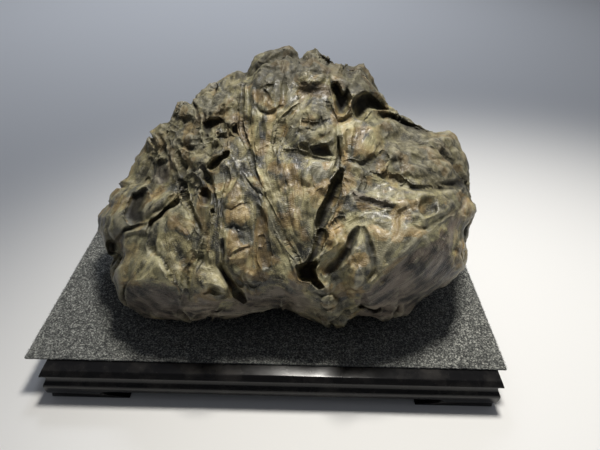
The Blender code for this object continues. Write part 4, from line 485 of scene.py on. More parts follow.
# Colour zones: mask, strength, softness of the edge, outline.
ZONES = {
    "recess shade": ("mauve", 0.55, 3, [
        (298, 80), (312, 79), (328, 82), (332, 92), (328, 100), (310, 98), (300, 96)]),
    "brown recess": ("ochre", 0.8, 3, [
        (295, 80), (312, 79), (328, 82), (332, 92), (328, 101), (310, 101), (299, 100)]),
    "ledge spot": ("mauve", 0.6, 3, [(359, 173), (366, 172), (367, 182), (360, 183)]),
    "valley right": ("slate", 1.0, 3, [
        (361, 226), (368, 234), (374, 248), (377, 262), (370, 268), (364, 258), (360, 247), (365, 240)]),
    # Painted shade under block E, in slate.
    "under block E": ("slate", 0.75, 3, [
        (354, 164), (368, 160), (378, 153), (386, 145), (388, 156), (382, 171), (372, 171), (362, 168)]),
    "tan face": ("ochre", 0.6, 3, [(168, 146), (176, 144), (178, 158), (177, 172), (170, 180), (166, 166)]),
    "rear pocket dark": ("mauve", 0.8, 3, [
        (155, 164), (163, 160), (167, 170), (169, 182), (160, 184), (154, 176)]),
    "almond face": ("cream", 0.25, 3, [
        (189, 274), (200, 277), (216, 281), (228, 292), (240, 306), (226, 302), (206, 296), (192, 288)]),
    "small triangle": ("cream", 0.9, 2, [(188, 294), (180, 310), (191, 303)]),
    "light triangle": ("cream", 0.9, 2, [
        (157, 258), (148, 278), (162, 281), (176, 287), (170, 274), (164, 263)]),
    # Painted shade in mauve on the face that turns under.
    "left dark face": ("mauve", 1.0, 3, [
        (118, 286), (146, 283), (170, 288), (182, 296), (180, 312), (184, 321), (150, 319), (134, 312),
        (124, 302)]),
    "lower right face": ("mauve", 1.0, 3, [
        (356, 300), (372, 288), (388, 272), (402, 260), (414, 252), (432, 240), (446, 229), (456, 216),
        (460, 222), (453, 240), (450, 256), (456, 272), (446, 290), (434, 297), (408, 316), (384, 324),
        (360, 316)]),
    "lower right rim": ("mauve", 0.6, 3, [(450, 212), (462, 200), (464, 216), (460, 226)]),
    "belly left": ("mauve", 0.9, 6, [
        (106, 276), (122, 288), (146, 286), (168, 291), (184, 300), (208, 304), (238, 302), (252, 293),
        (272, 284), (292, 286), (306, 296), (300, 316), (250, 322), (200, 328), (140, 322), (112, 300)]),
    "belly foot": ("mauve", 0.5, 5, [(306, 296), (322, 312), (340, 332), (318, 332), (296, 318)]),
    "hollow": ("slate", 1.0, 3, [
        (128, 190), (138, 185), (147, 186), (150, 199), (144, 213), (146, 224), (132, 228), (124, 217),
        (124, 203)]),
    "left rear": ("slate", 0.6, 5, [(98, 232), (106, 216), (118, 226), (116, 244), (106, 252)]),
    "rear lobe": ("slate", 0.6, 5, [(106, 252), (120, 250), (118, 276), (112, 290), (106, 274)]),
    "boss": ("slate", 0.5, 4, [(172, 104), (184, 98), (193, 104), (190, 116), (176, 116)]),
    "rear pocket": ("slate", 0.8, 3, [(154, 164), (166, 161), (169, 178), (160, 186), (153, 178)]),
    "block pocket": ("slate", 0.8, 3, [(196, 188), (209, 186), (212, 201), (205, 210), (196, 206)]),
    "dark patch": ("slate", 0.9, 4, [(234, 228), (252, 226), (256, 240), (246, 250), (236, 242)]),
    "knob patch": ("slate", 0.7, 3, [(255, 101), (268, 100), (270, 111), (257, 113)]),
    "valley": ("slate", 1.0, 3, [
        (356, 228), (360, 228), (356, 244), (350, 258), (340, 270), (326, 282), (320, 278), (330, 264),
        (342, 252), (350, 238)]),
    "hole lip": ("slate", 0.8, 4, [(318, 262), (332, 256), (346, 262), (338, 278), (322, 284)]),
    # Painted shade under the shelf, in mauve.
    "under shelf": ("mauve", 0.8, 3, [
        (354, 195), (366, 196), (380, 200), (394, 205), (396, 210), (380, 209), (364, 205), (354, 202)]),
    "panel low": ("slate", 0.5, 7, [(300, 214), (318, 216), (314, 244), (304, 262), (294, 244)]),
    "panel right": ("slate", 0.45, 5, [(316, 164), (334, 166), (332, 188), (320, 196), (312, 182)]),
    "diamond left": ("slate", 0.5, 5, [(284, 128), (298, 118), (306, 136), (292, 146), (280, 144)]),
    "diamond dark": ("slate", 0.7, 4, [(308, 144), (330, 140), (334, 156), (314, 158)]),
    "ledge top": ("slate", 0.45, 5, [(366, 182), (386, 184), (384, 194), (366, 192)]),
    "upper right shade": ("slate", 0.4, 8, [(384, 158), (402, 160), (420, 172), (396, 176), (382, 172)]),
    "grey green": ("slate", 0.55, 5, [
        (376, 226), (396, 222), (404, 232), (430, 230), (450, 224), (440, 238), (416, 252), (398, 262),
        (380, 268), (374, 250)]),
    "summit grey": ("slate", 0.6, 9, [
        (248, 62), (284, 40), (330, 42), (370, 56), (384, 92), (350, 98), (332, 82), (292, 78), (286, 100),
        (252, 86)]),
    "upper right grey": ("slate", 0.38, 8, [
        (384, 118), (410, 122), (450, 134), (466, 160), (464, 178), (430, 178), (398, 172), (384, 158)]),
    "left block light": ("cream", 0.5, 3, [
        (122, 242), (146, 234), (156, 256), (158, 264), (148, 284), (122, 285), (117, 268)]),
    "left block low": ("slate", 0.5, 5, [(150, 258), (158, 246), (168, 262), (164, 278), (152, 274)]),
    "almond shade": ("slate", 0.5, 5, [(186, 286), (204, 292), (226, 300), (200, 304), (186, 298)]),
    "bottom groove": ("slate", 0.6, 4, [(240, 268), (250, 262), (262, 282), (258, 300), (246, 292)]),
    # Stain and painted shade: painted shade under the shelf, in the rear crevice and on the lower faces that
    # turn under, and darker stone elsewhere.
    "summit darkening": ("stain_and_shade", 0.6, 8, [
        (246, 66), (282, 38), (330, 40), (372, 54), (388, 94), (352, 100), (332, 84), (292, 80),
        (288, 104), (252, 90)]),
    "recess darkening": ("stain_and_shade", 0.45, 3, [
        (296, 80), (312, 79), (329, 82), (332, 92), (328, 101), (310, 101), (299, 100)]),
    "upper right darkening": ("stain_and_shade", 0.22, 8, [
        (384, 118), (410, 122), (450, 134), (468, 160), (466, 182), (430, 182), (398, 176), (384, 158)]),
    "under split": ("stain_and_shade", 0.25, 4, [
        (240, 272), (252, 280), (268, 282), (280, 284), (296, 292), (302, 304), (276, 304), (252, 302),
        (244, 292)]),
    "left dark painted shade": ("stain_and_shade", 0.45, 2.5, [
        (118, 287), (146, 284), (170, 289), (182, 297), (180, 310), (150, 312), (128, 304)]),
    "spine darkening": ("stain_and_shade", 0.6, 3, [
        (200, 206), (208, 210), (212, 224), (208, 240), (201, 250), (198, 236), (196, 220)]),
    "column darkening": ("stain_and_shade", 0.5, 3, [
        (256, 202), (264, 206), (268, 224), (271, 244), (272, 262), (266, 276), (262, 262), (258, 240)]),
    "shelf painted shade": ("stain_and_shade", 0.45, 3, [
        (354, 196), (366, 197), (380, 201), (392, 206), (380, 208), (364, 205)]),
    "rear crevice painted shade": ("stain_and_shade", 0.55, 4, [(98, 236), (112, 232), (118, 244), (112, 256), (104, 252)]),
    "hollow darkening": ("stain_and_shade", 0.35, 3, [
        (130, 192), (145, 186), (148, 199), (143, 212), (145, 223), (131, 227), (124, 216), (126, 204)]),
    "crust summit": ("crust", 1.0, 10, [
        (250, 62), (284, 42), (330, 44), (370, 58), (384, 92), (350, 100), (330, 84), (292, 80), (270, 78),
        (252, 84)]),
    "crust left": ("crust", 1.0, 10, [
        (146, 140), (176, 98), (214, 82), (242, 68), (238, 100), (230, 150), (212, 172), (186, 180),
        (160, 186), (138, 182)]),
    "crust diamond": ("crust", 0.8, 6, [
        (288, 118), (302, 104), (324, 98), (334, 116), (336, 136), (314, 142), (296, 136)]),
    "crust upper right": ("crust", 0.9, 8, [
        (382, 112), (410, 118), (452, 130), (468, 158), (470, 184), (430, 184), (398, 178), (386, 158)]),
    "crust ledge": ("crust", 0.4, 6, [(400, 186), (464, 190), (462, 206), (432, 214), (404, 206)]),
    "crust foot": ("crust", 0.7, 6, [
        (306, 284), (322, 282), (342, 300), (346, 326), (330, 332), (314, 318)]),
}

# Colour spots: mask, strength, middle, radii, turn in degrees.
SPOTS = {
    "valley crest": ("ochre", 0.6, (349, 262), (6, 7), 30),
    # Painted highlight along the lit right rim.
    "lump rim": ("cream", 0.8, (453, 252), (2, 16), -8),
    # Painted highlight along the hollow's lit rim.
    "hollow rim": ("cream", 1.0, (142, 187), (7, 2), -25),
    "finger tan": ("ochre", 0.6, (174, 196), (8, 6), -35),
    "orange facet": ("ochre", 1.0, (333, 236), (13, 14), -30),
    "tan facet": ("ochre", 0.7, (380, 235), (9, 6), 0),
    "under boundary": ("ochre", 0.8, (416, 231), (14, 5), -10),
    "ochre lump": ("ochre", 1.0, (463, 255), (9, 16), 5),
    "upper lump": ("ochre", 1.0, (468, 211), (6, 12), 0),
    "column": ("ochre", 0.9, (344, 147), (4, 20), 0),
    "under crust": ("ochre", 0.9, (311, 90), (18, 9), 0),
    "knob band": ("ochre", 0.9, (262, 98), (12, 6), 35),
    "cream streak a": ("cream", 0.8, (260, 126), (5, 22), 5),
    "cream streak b": ("ochre", 0.6, (268, 130), (4, 20), 5),
    "cream streak c": ("cream", 0.5, (252, 138), (3, 16), 0),
    "left orange": ("ochre", 0.9, (125, 283), (6, 8), 0),
    "finger": ("cream", 0.7, (162, 202), (20, 7), -35),
    "centre tan": ("ochre", 0.8, (236, 214), (13, 12), 0),
    "centre tan up": ("ochre", 0.6, (233, 190), (9, 12), 0),
    "centre tan low": ("ochre", 0.7, (240, 258), (12, 14), 0),
    "low tan edge": ("ochre", 0.8, (244, 276), (9, 5), -20),
    "groove brown": ("ochre", 0.9, (261, 238), (6, 32), 4),
    "blade tip": ("cream", 0.9, (284, 266), (7, 12), 10),
    "panel tan a": ("ochre", 0.4, (284, 178), (7, 14), 0),
    "panel tan b": ("ochre", 0.45, (306, 186), (9, 12), 0),
    "panel tan c": ("ochre", 0.5, (296, 222), (6, 14), 0),
    "flake": ("cream", 0.6, (316, 204), (8, 11), 20),
    "triangle facet": ("cream", 0.9, (361, 237), (4, 8), 0),
    "left block tan": ("ochre", 0.4, (136, 252), (8, 16), 20),
    "mid tan": ("ochre", 0.5, (188, 262), (8, 12), 20),
    "mid tan low": ("ochre", 0.5, (194, 272), (7, 9), 0),
    "spine brown": ("ochre", 0.5, (206, 236), (4, 18), -10),
    "edge brown": ("ochre", 0.6, (228, 140), (5, 14), 10),
    "block E cream": ("cream", 0.7, (374, 140), (9, 14), 20),
    "block E tan": ("ochre", 0.4, (360, 150), (6, 12), 15),
    "orange spot": ("ochre", 0.9, (453, 135), (5, 4), 0),
    "upper right tan": ("ochre", 0.4, (438, 142), (14, 8), 20),
    # Painted highlight along the ledge's lit lip.
    "ledge lip highlight": ("cream", 0.6, (400, 184), (34, 4), 10),
    "ledge tan": ("ochre", 0.9, (342, 192), (6, 26), 16),
    # Painted highlight along the shelf's lit edge.
    "shelf edge highlight": ("cream", 0.8, (388, 200), (10, 3), 15),
    # Painted highlights along the sunken panel's lit rims, here and in the next line.
    "sunken rim": ("cream", 0.6, (434, 193), (17, 3), -3),
    "sunken low": ("cream", 0.6, (438, 215), (14, 3), -18),
    "light flake": ("cream", 0.7, (433, 226), (6, 5), 0),
    "foot tint": ("ochre", 0.6, (329, 291), (5, 4), 0),
    "foot hollow": ("ochre", 0.8, (339, 324), (5, 5), 0),
    # Painted highlight along the hole's lit rim.
    "hole rim": ("cream", 0.8, (316, 266), (2.5, 9), -10),
    "bulge green": ("cream", 0.5, (352, 280), (9, 14), 10),
    # Painted highlight along the lit right crest.
    "right crest": ("cream", 0.8, (453, 238), (2, 24), 4),
    "left spine": ("ochre", 0.5, (146, 128), (8, 10), 0),
    "finger two": ("ochre", 0.5, (120, 240), (10, 6), -20),
}

# The streaks' direction is kept on a grid over the sheet, in millimetres. Each stroke pulls it strongly as
# far as FLOW_NEAR and faintly as far as FLOW_FAR; where nothing is drawn it stands upright. On the sides that
# the sheet doesn't reach it stands upright too, and swerves: how much, and the noise as (size, seed).
FLOW_LOW = (80.0, 30.0)
FLOW_HIGH = (500.0, 350.0)
FLOW_STEP = 4.0
FLOW_NEAR = 9.0
FLOW_FAR = 30.0
FLOW_FAR_PULL = 0.05
FLOW_UPRIGHT = 0.02
FLOW_OF_EDGES = 0.6
FLOW_WILD = 1.2
FLOW_SWERVE = (0.11, 71)

# Noise drawn out along the streaks, as (size, reach, seed): fine, patchy and wide.
STREAK_LAYERS = [(0.0035, 0.006, 201), (0.0085, 0.007, 211), (0.022, 0.020, 221)]
SMEAR_TAPS = 9
BROKEN_BY_FINE = 0.55
BROKEN_BY_PATCHY = 0.75
BROKEN_MOST = 2.0

# Edges of what is painted on the sheet: a zone's as shares of its softness, a spot's by its swelling.
ZONE_EDGE = (-0.5, 0.5)
ZONE_REACH = 3.0
SPOT_SPREAD = 1.35
SPOT_EDGE = (0.10, 0.75)
SPOT_BREAK = 0.45

# Where the sheet doesn't reach, each mask is made up. A tint lies where a noise of its own is high: its
# strength, the noise's range, and the noise as (size, reach, seed). Mauve lies low and underneath, crust high
# and on top, as ranges of the normal's rise and of the height in metres; stain follows wide noise. Mauve is
# partly the stone's purple-brown and partly painted shade on the faces that turn down.
MASK_ROUNDS = 6
SEEN = (-0.05, 0.12)
UNSEEN_TINTS = {
    "slate": (0.9, (0.30, 0.60), (0.0105, 0.006, 231)),
    "ochre": (0.9, (0.50, 0.80), (0.010, 0.005, 241)),
    "cream": (0.8, (0.70, 1.00), (0.008, 0.006, 251)),
}
TINTS_IN_FRONT = 0.85
TINTS_LOST_ON_MAUVE = 0.9
MAUVE_UNDER = (-0.10, -0.55)
MAUVE_BELOW = (0.16, 0.10)
MAUVE_BY_PATCHY = 0.12
CRUST_BEHIND = 0.9
CRUST_OVER = (-0.2, 0.8)
CRUST_ABOVE = (0.10, 0.16)
CRUST_BY_WIDE = 0.3
STAIN_BEHIND = 0.5
STAIN_RANGE = (0.3, 1.3)
STAIN_BY_PATCHY = 0.4

# The tone about its middle: what each streak layer adds, how crust calms the streaks and mauve stirs them,
# and the mottling of the crust.
TONE_MIDDLE = 0.5
TONE_OF_LAYERS = (0.15, 0.13, 0.06)
STREAKS_LOST_ON_CRUST = 0.6
STREAKS_WON_ON_MAUVE = 1.1
CRUST_GRAIN = (0.004, 2, 261)
CRUST_MOTTLE = 0.35
CRUST_DARKER = 0.06

# Painted shade in the hollows and painted highlights on the crests, by how far a point lies under the
# surface around it: rounds of averaging, range in metres, and weight. Painted shade drawn along the fissures
# and pits takes the place of most of it where the sheet reaches.
HOLLOWS = [(3, (0.0002, 0.0012), 0.5), (24, (0.0006, 0.0040), 0.8)]
HOLLOWS_LOST_IN_FRONT = 0.7
HIGHLIGHT_CRESTS = (3, (0.00010, 0.00040))
SHADE_SEEN = (-0.40, -0.15)

# Painted shade in the fissures and pits: its reach and its core in fissure widths, and how it darkens with
# depth in millimetres.
SHADE_REACH = 1.5
SHADE_CORE = 0.3
SHADE_LEAST = 0.25
SHADE_DEPTH = 7.0
SHADE_CURVE = 1.6

# Stone colours, from dark to light along the tone, and what lies over them: each tint's mask, colour, share,
# and swing between its dark and its light.
STONE_TONES = [
    (0.00, (0.015, 0.014, 0.010)), (0.28, (0.068, 0.062, 0.036)), (0.50, (0.190, 0.166, 0.086)),
    (0.72, (0.310, 0.274, 0.144)), (1.00, (0.520, 0.468, 0.290)),
]
STONE_TINTS = [
    ("slate", (0.060, 0.066, 0.062), 0.78, 0.70),
    ("ochre", (0.290, 0.192, 0.074), 0.76, 0.65),
    ("cream", (0.375, 0.345, 0.185), 0.60, 0.60),
    # Mauve: the stone's purple-brown, and painted shade where the stone turns under.
    ("mauve", (0.086, 0.068, 0.056), 0.92, 0.95),
]
STONE_CRUST = (0.310, 0.280, 0.175)
# The colour of the painted shade in hollows, fissures and pits, and of the stain and painted shade.
STONE_STAIN_AND_SHADE = (0.012, 0.010, 0.007)
# The colour of the painted highlights on the crests, and of the light veins.
STONE_HIGHLIGHT_AND_VEIN = (0.440, 0.405, 0.290)
BLACK = (0.0, 0.0, 0.0)
# Over the colour: painted highlights on the crests, stain and painted shade, and painted shade in the
# hollows.
STONE_OVERLAYS = [("crest", 0.42, STONE_HIGHLIGHT_AND_VEIN), ("stain_and_shade", 0.80, STONE_STAIN_AND_SHADE), ("hollow", 0.92, STONE_STAIN_AND_SHADE)]
TINT_EDGE = (0.22, 0.36)
CRUST_SHARE = 0.35
CRUST_SHADE = 0.30
CRUST_FLECKS = (0.42, 0.62)

# The shader's own grains as (size in metres, detail, roughness), and what they do. Pairs named ON_MAUVE or
# ON_CRUST hold the factor where that mask is 0 and where it is 1.
STREAK_GRAIN = (0.0014, 1.0)
STREAK_TAPS = (-1.0, -0.5, 0.0, 0.5, 1.0)
STREAK_REACH = 0.0035
STREAK_GAIN = 1.3
STREAK_TONE = 0.22
STREAK_ON_CRUST = (1.0, 0.3)
STREAK_ON_MAUVE = (1.0, 1.9)
FLECK_GRAIN = (0.0011, 3.0, 0.7)
FLECK_TONE = 0.55
MARBLE_GRAIN = (0.0042, 3.0, 0.6)
MARBLE_BREAK = 0.9
SWIRL_SCALE = 260.0
SWIRL_BY = 0.0030
BLOT_GRAIN = (0.0110, 3.0, 0.55)
BLOT_RANGE = (0.46, 0.54, -0.09, 0.09)
SPECK_GRAIN = (0.0045, 3.0, 0.55)
SPECK_RANGE = (0.55, 0.59, 0.0, 0.12)
VEIN_GRAIN = (0.0080, 4.0, 0.6)
VEIN_RANGE = (0.018, 0.003)
VEIN_FLECKS = (0.44, 0.56)
VEIN_ON_MAUVE = (0.45, 0.12)
CHIP_SCALE = 150.0
CHIP_ON_MAUVE = (2.0, 0.9)
STONE_BUMP = (0.0005, 0.8)
BUMP_OF_STREAK = 0.6
BUMP_OF_FLECK = 0.7

# How rough the stone is, what crust, the hollows and flecks add to it, and its wax.
STONE_ROUGH = 0.45
ROUGH_OF_CRUST = 0.25
ROUGH_IN_HOLLOWS = 0.20
ROUGH_OF_FLECK = 0.25
WAX = 0.12
WAX_ROUGH = 0.17
WAX_LOST_ON_CRUST = 0.75

# ---------------------------------------------------------------- the felt
FELT_STEP = 0.0024
FELT_NAP = 0.0003
FELT_RAGGED = 0.0003
FELT_RAGGED_NOISE = (0.004, 11)
FELT_NAP_NOISE = (0.005, 2, 21)
FELT_NAP_SUNK = 0.35
FELT_TONES = [
    (0.38, (0.012, 0.013, 0.014)), (0.46, (0.060, 0.062, 0.058)), (0.54, (0.150, 0.155, 0.142)),
    (0.63, (0.480, 0.485, 0.440)),
]
NAP_GRAIN = (0.0016, 3.0, 0.65)
TUFT_GRAIN = (0.0045, 2.0)
FELT_CLOUD_GRAIN = (0.060, 2.0)
NAP_SHARE = 0.8
FELT_CLOUD_SHARE = 0.08
FELT_BUMP = (0.0012, 0.9)
FELT_FINISH = {
    "Roughness": 0.95, "Sheen Weight": 0.25, "Sheen Roughness": 0.6, "Specular IOR Level": 0.15,
}

# Loose fibres, in metres: ranges of length, half width and lift, and how far they lie in from the edge and
# down in the nap. One in FIBRE_EDGE_EVERY lies across the cut edge.
FIBRE_COUNT = 9000
FIBRE_LENGTH = (0.0015, 0.0040)
FIBRE_HALF_WIDTH = (0.00008, 0.00016)
FIBRE_LIFT = (0.00005, 0.00045)
FIBRE_ARC = (0.15, 0.7)
FIBRE_BEND = 0.5
FIBRE_STEPS = 3
FIBRE_THINNING = 0.7
FIBRE_INSET = 0.001
FIBRE_SUNK = 0.00012
FIBRE_EDGE_EVERY = 6
WOOL_GRAIN = (0.003, 1.0)
WOOL_SHADES = (0.6, 1.3)
WOOL_ROUGH = 0.8
PALE_WOOL = (0.42, 0.43, 0.40)
DARK_WOOL = (0.025, 0.026, 0.028)

# ---------------------------------------------------------------- the stand
GAP = 0.0003
RAIL_THICKNESS = 0.0140
FOOT_LENGTH = 0.0510
CUT_OUT_HEIGHT = 0.0125
TOE_HEIGHT = 0.0030
BOW_STEPS = 17
CURVE_STEPS = 3
CUTTER_SPILL = 0.0100
BOARD_ARRIS = 0.00035
RAIL_ARRIS = 0.00030
EASED_FROM = math.radians(38)
SHARP_FROM = math.radians(34)
RUBBED_AT = math.radians(30)

# Edge mouldings as (outward from the nose line, height above the floor), in millimetres, top to bottom.
BOARD_EDGE = [(-3.9, 39.0), (-3.2, 38.7), (-2.6, 37.9), (-0.3, 33.6), (0.0, 32.9), (-0.3, 32.3)]
RAIL_EDGE = [
    (-3.4, 32.0), (-3.4, 27.4), (-3.1, 25.4), (-2.3, 23.4), (-0.9, 21.0), (-0.1, 19.2), (0.1, 17.4),
    (-0.1, 14.2), (-0.5, 10.2), (-1.2, 7.8), (-2.3, 6.3), (-3.5, 5.5), (-3.2, 4.6), (-2.7, 0.0),
]

# The toe under each cut-out's end as (past the foot's end, height above the floor), in millimetres.
TOE = [(-26.0, -4.0), (-26.0, 1.0), (-14.0, 2.3)]

# The lacquer: its colours, its grains as (size, detail, roughness), ranges of them, and what they add to how
# rough it is and to its bump.
LACQUER_BLACK = (0.0060, 0.0058, 0.0062)
LACQUER_DUST = (0.160, 0.155, 0.145)
LACQUER_RUBBED = (0.060, 0.055, 0.050)
WIPE_STRETCH = (0.08, 0.08, 1.0)
WIPE_GRAIN = (0.0010, 2.0)
DUST_GRAIN = (0.0009, 2.0, 0.7)
LACQUER_CLOUD_GRAIN = (0.030, 3.0, 0.6)
DUST_RANGE = (0.66, 0.74)
DUSTY_RANGE = (0.40, 0.65)
DUST_SHARE = 0.5
RUBBED_RANGE = (0.45, 0.70)
RUBBED_SHARE = 0.35
LACQUER_ROUGH = 0.10
ROUGH_OF_WIPES = 0.14
ROUGH_OF_CLOUD = 0.10
ROUGH_OF_DUST = 0.4
BUMP_OF_CLOUD = 0.5
BUMP_OF_WIPES = 0.08
LACQUER_BUMP = (0.0004, 0.35)
LACQUER_FINISH = {"Coat Weight": 0.08, "Coat Roughness": 0.08, "Specular IOR Level": 0.25}

# ---------------------------------------------------------------- light, stage and camera
FLOOR_COLOUR = (0.80, 0.80, 0.79)
FLOOR_ROUGH = 0.75
FLOOR_REACH = 4.0
ROOM_COLOUR = (0.86, 0.90, 1.0)
ROOM_TOP = 0.16
ROOM_FRONT = 0.07
ROOM_RANGE = (-0.3, 0.9)
ROOM_LEAN_BACK = 0.5
SENSOR_WIDTH = 36.0

# Lamps: name, energy, colour, radius, cone in degrees, place, target.
LAMPS = [
    ("ceiling_lamp", 70.0, (1.0, 0.965, 0.90), 0.12, 74.0, (0.13, 0.16, 1.27), (0.28, -0.20, 0.0)),
    ("backdrop_lamp", 112.0, (0.82, 0.88, 1.0), 0.30, 92.0, (-0.30, 1.90, 2.40), (-0.32, 1.60, 0.0)),
]


# ---------------------------------------------------------------- the sheet
def eye_axes():
    """Unit vectors ahead, right and up as seen from the eye."""
    level = math.cos(EYE_PITCH)
    ahead = np.array([math.sin(EYE_YAW) * level, math.cos(EYE_YAW) * level, -math.sin(EYE_PITCH)])
    flat_right = np.array([math.cos(EYE_YAW), -math.sin(EYE_YAW), 0.0])
    flat_up = np.cross(flat_right, ahead)
    right = math.cos(EYE_ROLL) * flat_right + math.sin(EYE_ROLL) * flat_up
    up = -math.sin(EYE_ROLL) * flat_right + math.cos(EYE_ROLL) * flat_up
    return ahead, right, up


AHEAD, RIGHT, UP = eye_axes()


def to_sheet(points):
    """Sheet place of each point, and its depth ahead of the eye."""
    offset = points - EYE
    depth = offset @ AHEAD
    u = SHEET_MIDDLE[0] + SHEET_DISTANCE * (offset @ RIGHT) / depth
    v = SHEET_MIDDLE[1] - SHEET_DISTANCE * (offset @ UP) / depth
    return np.stack([u, v], axis=1), depth


def from_sheet(places, depth):
    """The points at these sheet places and depths."""
    offset = (places - np.array(SHEET_MIDDLE)) / SHEET_DISTANCE * depth[:, None]
    return EYE + depth[:, None] * AHEAD + offset[:, :1] * RIGHT - offset[:, 1:] * UP


def unit(vectors, least=0.0):
    """Vectors brought to a length of 1."""
    return vectors / (np.linalg.norm(vectors, axis=1)[:, None] + least)


# ---------------------------------------------------------------- noise
def ramp(low, high, x):
    """Smooth step from 0 at low to 1 at high."""
    t = np.clip((x - low) / (high - low), 0.0, 1.0)
    return t * t * (3.0 - 2.0 * t)


def scatter(cell, seed):
    """A fixed random number, 0 to 1, for each whole-numbered cell, by hashing it."""
    mixed = cell.astype(np.uint32) * np.array([374761393, 668265263, 1274126177], np.uint32)
    h = mixed[:, 0] + mixed[:, 1] + mixed[:, 2] + np.uint32(seed * 7919 + 13)
    h = (h ^ (h >> np.uint32(13))) * np.uint32(1274126177)
    h = (h ^ (h >> np.uint32(16))) * np.uint32(2246822519)
    return (h ^ (h >> np.uint32(15))).astype(np.float64) / 4294967295.0


def scatter_place(cell, seed):
    """Three fixed random numbers for each cell."""
    return np.stack([scatter(cell, seed + k) for k in range(3)], axis=1)


def cells_around(points, size, steps):
    """The points in cell sizes, and for every step along x, y and z the cell that lies there."""
    q = points / size
    base = np.floor(q).astype(np.int64)
    return q, [base + step for step in itertools.product(steps, repeat=3)]


def noise(points, size, seed):
    """Smooth noise, -1 to 1, with features about `size` across."""
    q, cells = cells_around(points, size, (0, 1))
    f = q - cells[0]
    f = f * f * f * (f * (f * 6 - 15) + 10)
    total = np.zeros(len(q))
    for cell in cells:
        weight = np.where(cell > cells[0], f, 1 - f).prod(axis=1)
        total += weight * scatter(cell, seed)
    return total * 2 - 1


def fractal(points, size, octaves, seed):
    """Noise with finer noise added, each octave half as large and half as high."""
    shares = [0.5 ** k for k in range(octaves)]
    layers = [s * noise(points, size * s, seed + k) for k, s in enumerate(shares)]
    return sum(layers) / sum(shares)


def swerve(points, size, seed):
    """Three noises as one offset for each point."""
    return np.stack([fractal(points, size, 2, seed + 10 * k) for k in range(3)], axis=1)


def chips(points, size, rise, tilt, seed, crests):
    """Tilted faces about `size` across that meet in valleys, or in sharp crests."""
    q, cells = cells_around(points, size, (-1, 0, 1))
    best = np.full(len(q), -FAR)
    for cell in cells:
        away = q - (cell + CHIP_JITTER[0] + CHIP_JITTER[1] * scatter_place(cell, seed))
        height = rise * (2 * scatter(cell, seed + 6) - 1)
        height += tilt * (away * (2 * scatter_place(cell, seed + 3) - 1)).sum(axis=1)
        height -= CHIP_FALL * rise * (away ** 2).sum(axis=1)
        best = np.maximum(best, height)
    sign = -1.0 if crests else 1.0
    return sign * (best + CHIP_LIFT * rise)


def clefts(points, size, seed):
    """How far each point is from the border between the two nearest cells, in cell sizes."""
    q, cells = cells_around(points, size, (-1, 0, 1))
    nearest = np.full(len(q), FAR)
    second = np.full(len(q), FAR)
    for cell in cells:
        away = q - (cell + CLEFT_JITTER[0] + CLEFT_JITTER[1] * scatter_place(cell, seed))
        d = np.sqrt((away ** 2).sum(axis=1))
        second = np.minimum(second, np.maximum(nearest, d))
        nearest = np.minimum(nearest, d)
    return second - nearest


# ---------------------------------------------------------------- strokes on the sheet
EDGES = [drawing[-1] for drawing in (*RIDGES.values(), *FISSURES.values())]


def around(places, drawing, reach):
    """Which places lie within `reach` of a drawing's own box."""
    p = np.asarray(drawing, float)
    inside = (places > p.min(axis=0) - reach) & (places < p.max(axis=0) + reach)
    return np.flatnonzero(inside.all(axis=1))


def along(places, stroke):
    """Distance to a stroke, its nearest point, the hand it is on (+1 is left), and how far along, 0 to 1."""
    p = np.asarray(stroke, float)
    runs = p[1:] - p[:-1]
    lengths = np.sqrt((runs ** 2).sum(axis=1))
    starts = np.concatenate([[0.0], np.cumsum(lengths)])
    distance = np.full(len(places), FAR)
    nearest = places.copy()
    hand = np.zeros(len(places))
    share = np.zeros(len(places))
    for k, run in enumerate(runs):
        rel = places - p[k]
        t = np.clip((rel @ run) / lengths[k] ** 2, 0, 1)
        foot = p[k] + t[:, None] * run
        d = np.sqrt(((places - foot) ** 2).sum(axis=1))
        near = d < distance
        distance = np.where(near, d, distance)
        nearest = np.where(near[:, None], foot, nearest)
        hand = np.where(near, np.sign(run[1] * rel[:, 0] - run[0] * rel[:, 1]), hand)
        share = np.where(near, (starts[k] + t * lengths[k]) / starts[-1], share)
    return distance, nearest, hand, share


def within(places, outline):
    """Distance to a closed outline, positive inside it."""
    p = np.asarray(outline, float)
    distance = np.full(len(places), FAR)
    odd = np.zeros(len(places), bool)
    for a, b in zip(p, np.roll(p, -1, axis=0)):
        run = b - a
        rel = places - a
        t = np.clip((rel @ run) / (run @ run), 0, 1)
        distance = np.minimum(distance, np.sqrt(((rel - t[:, None] * run) ** 2).sum(axis=1)))
        if a[1] != b[1]:
            crossing = a[0] + rel[:, 1] / run[1] * run[0]
            odd ^= ((a[1] > places[:, 1]) != (b[1] > places[:, 1])) & (places[:, 0] < crossing)
    return np.where(odd, distance, -distance)


def tapered(share, power):
    """1 at a stroke's middle, 0 at its ends."""
    return np.clip(4 * share * (1 - share), 0, 1) ** power


def ridge(places, height, left, right, stroke, crest=RIDGE_CREST):
    """A crest with a straight slope on each hand; a negative height makes a valley."""
    d, _, hand, share = along(places, stroke)
    width = np.where(hand > 0, left, right)
    return height * tapered(share, 0.5) * np.clip(1 - (np.hypot(d, crest) - crest) / width, 0, 1)


def fissure(places, width, depth, stroke):
    """A narrow cut that thins out at its ends."""
    d, _, _, share = along(places, stroke)
    taper = tapered(share, FISSURE_TAPER)
    narrowed = width * (FISSURE_ENDS + (1 - FISSURE_ENDS) * taper)
    return -depth * taper * np.clip(1 - d / narrowed, 0, 1) ** FISSURE_CURVE


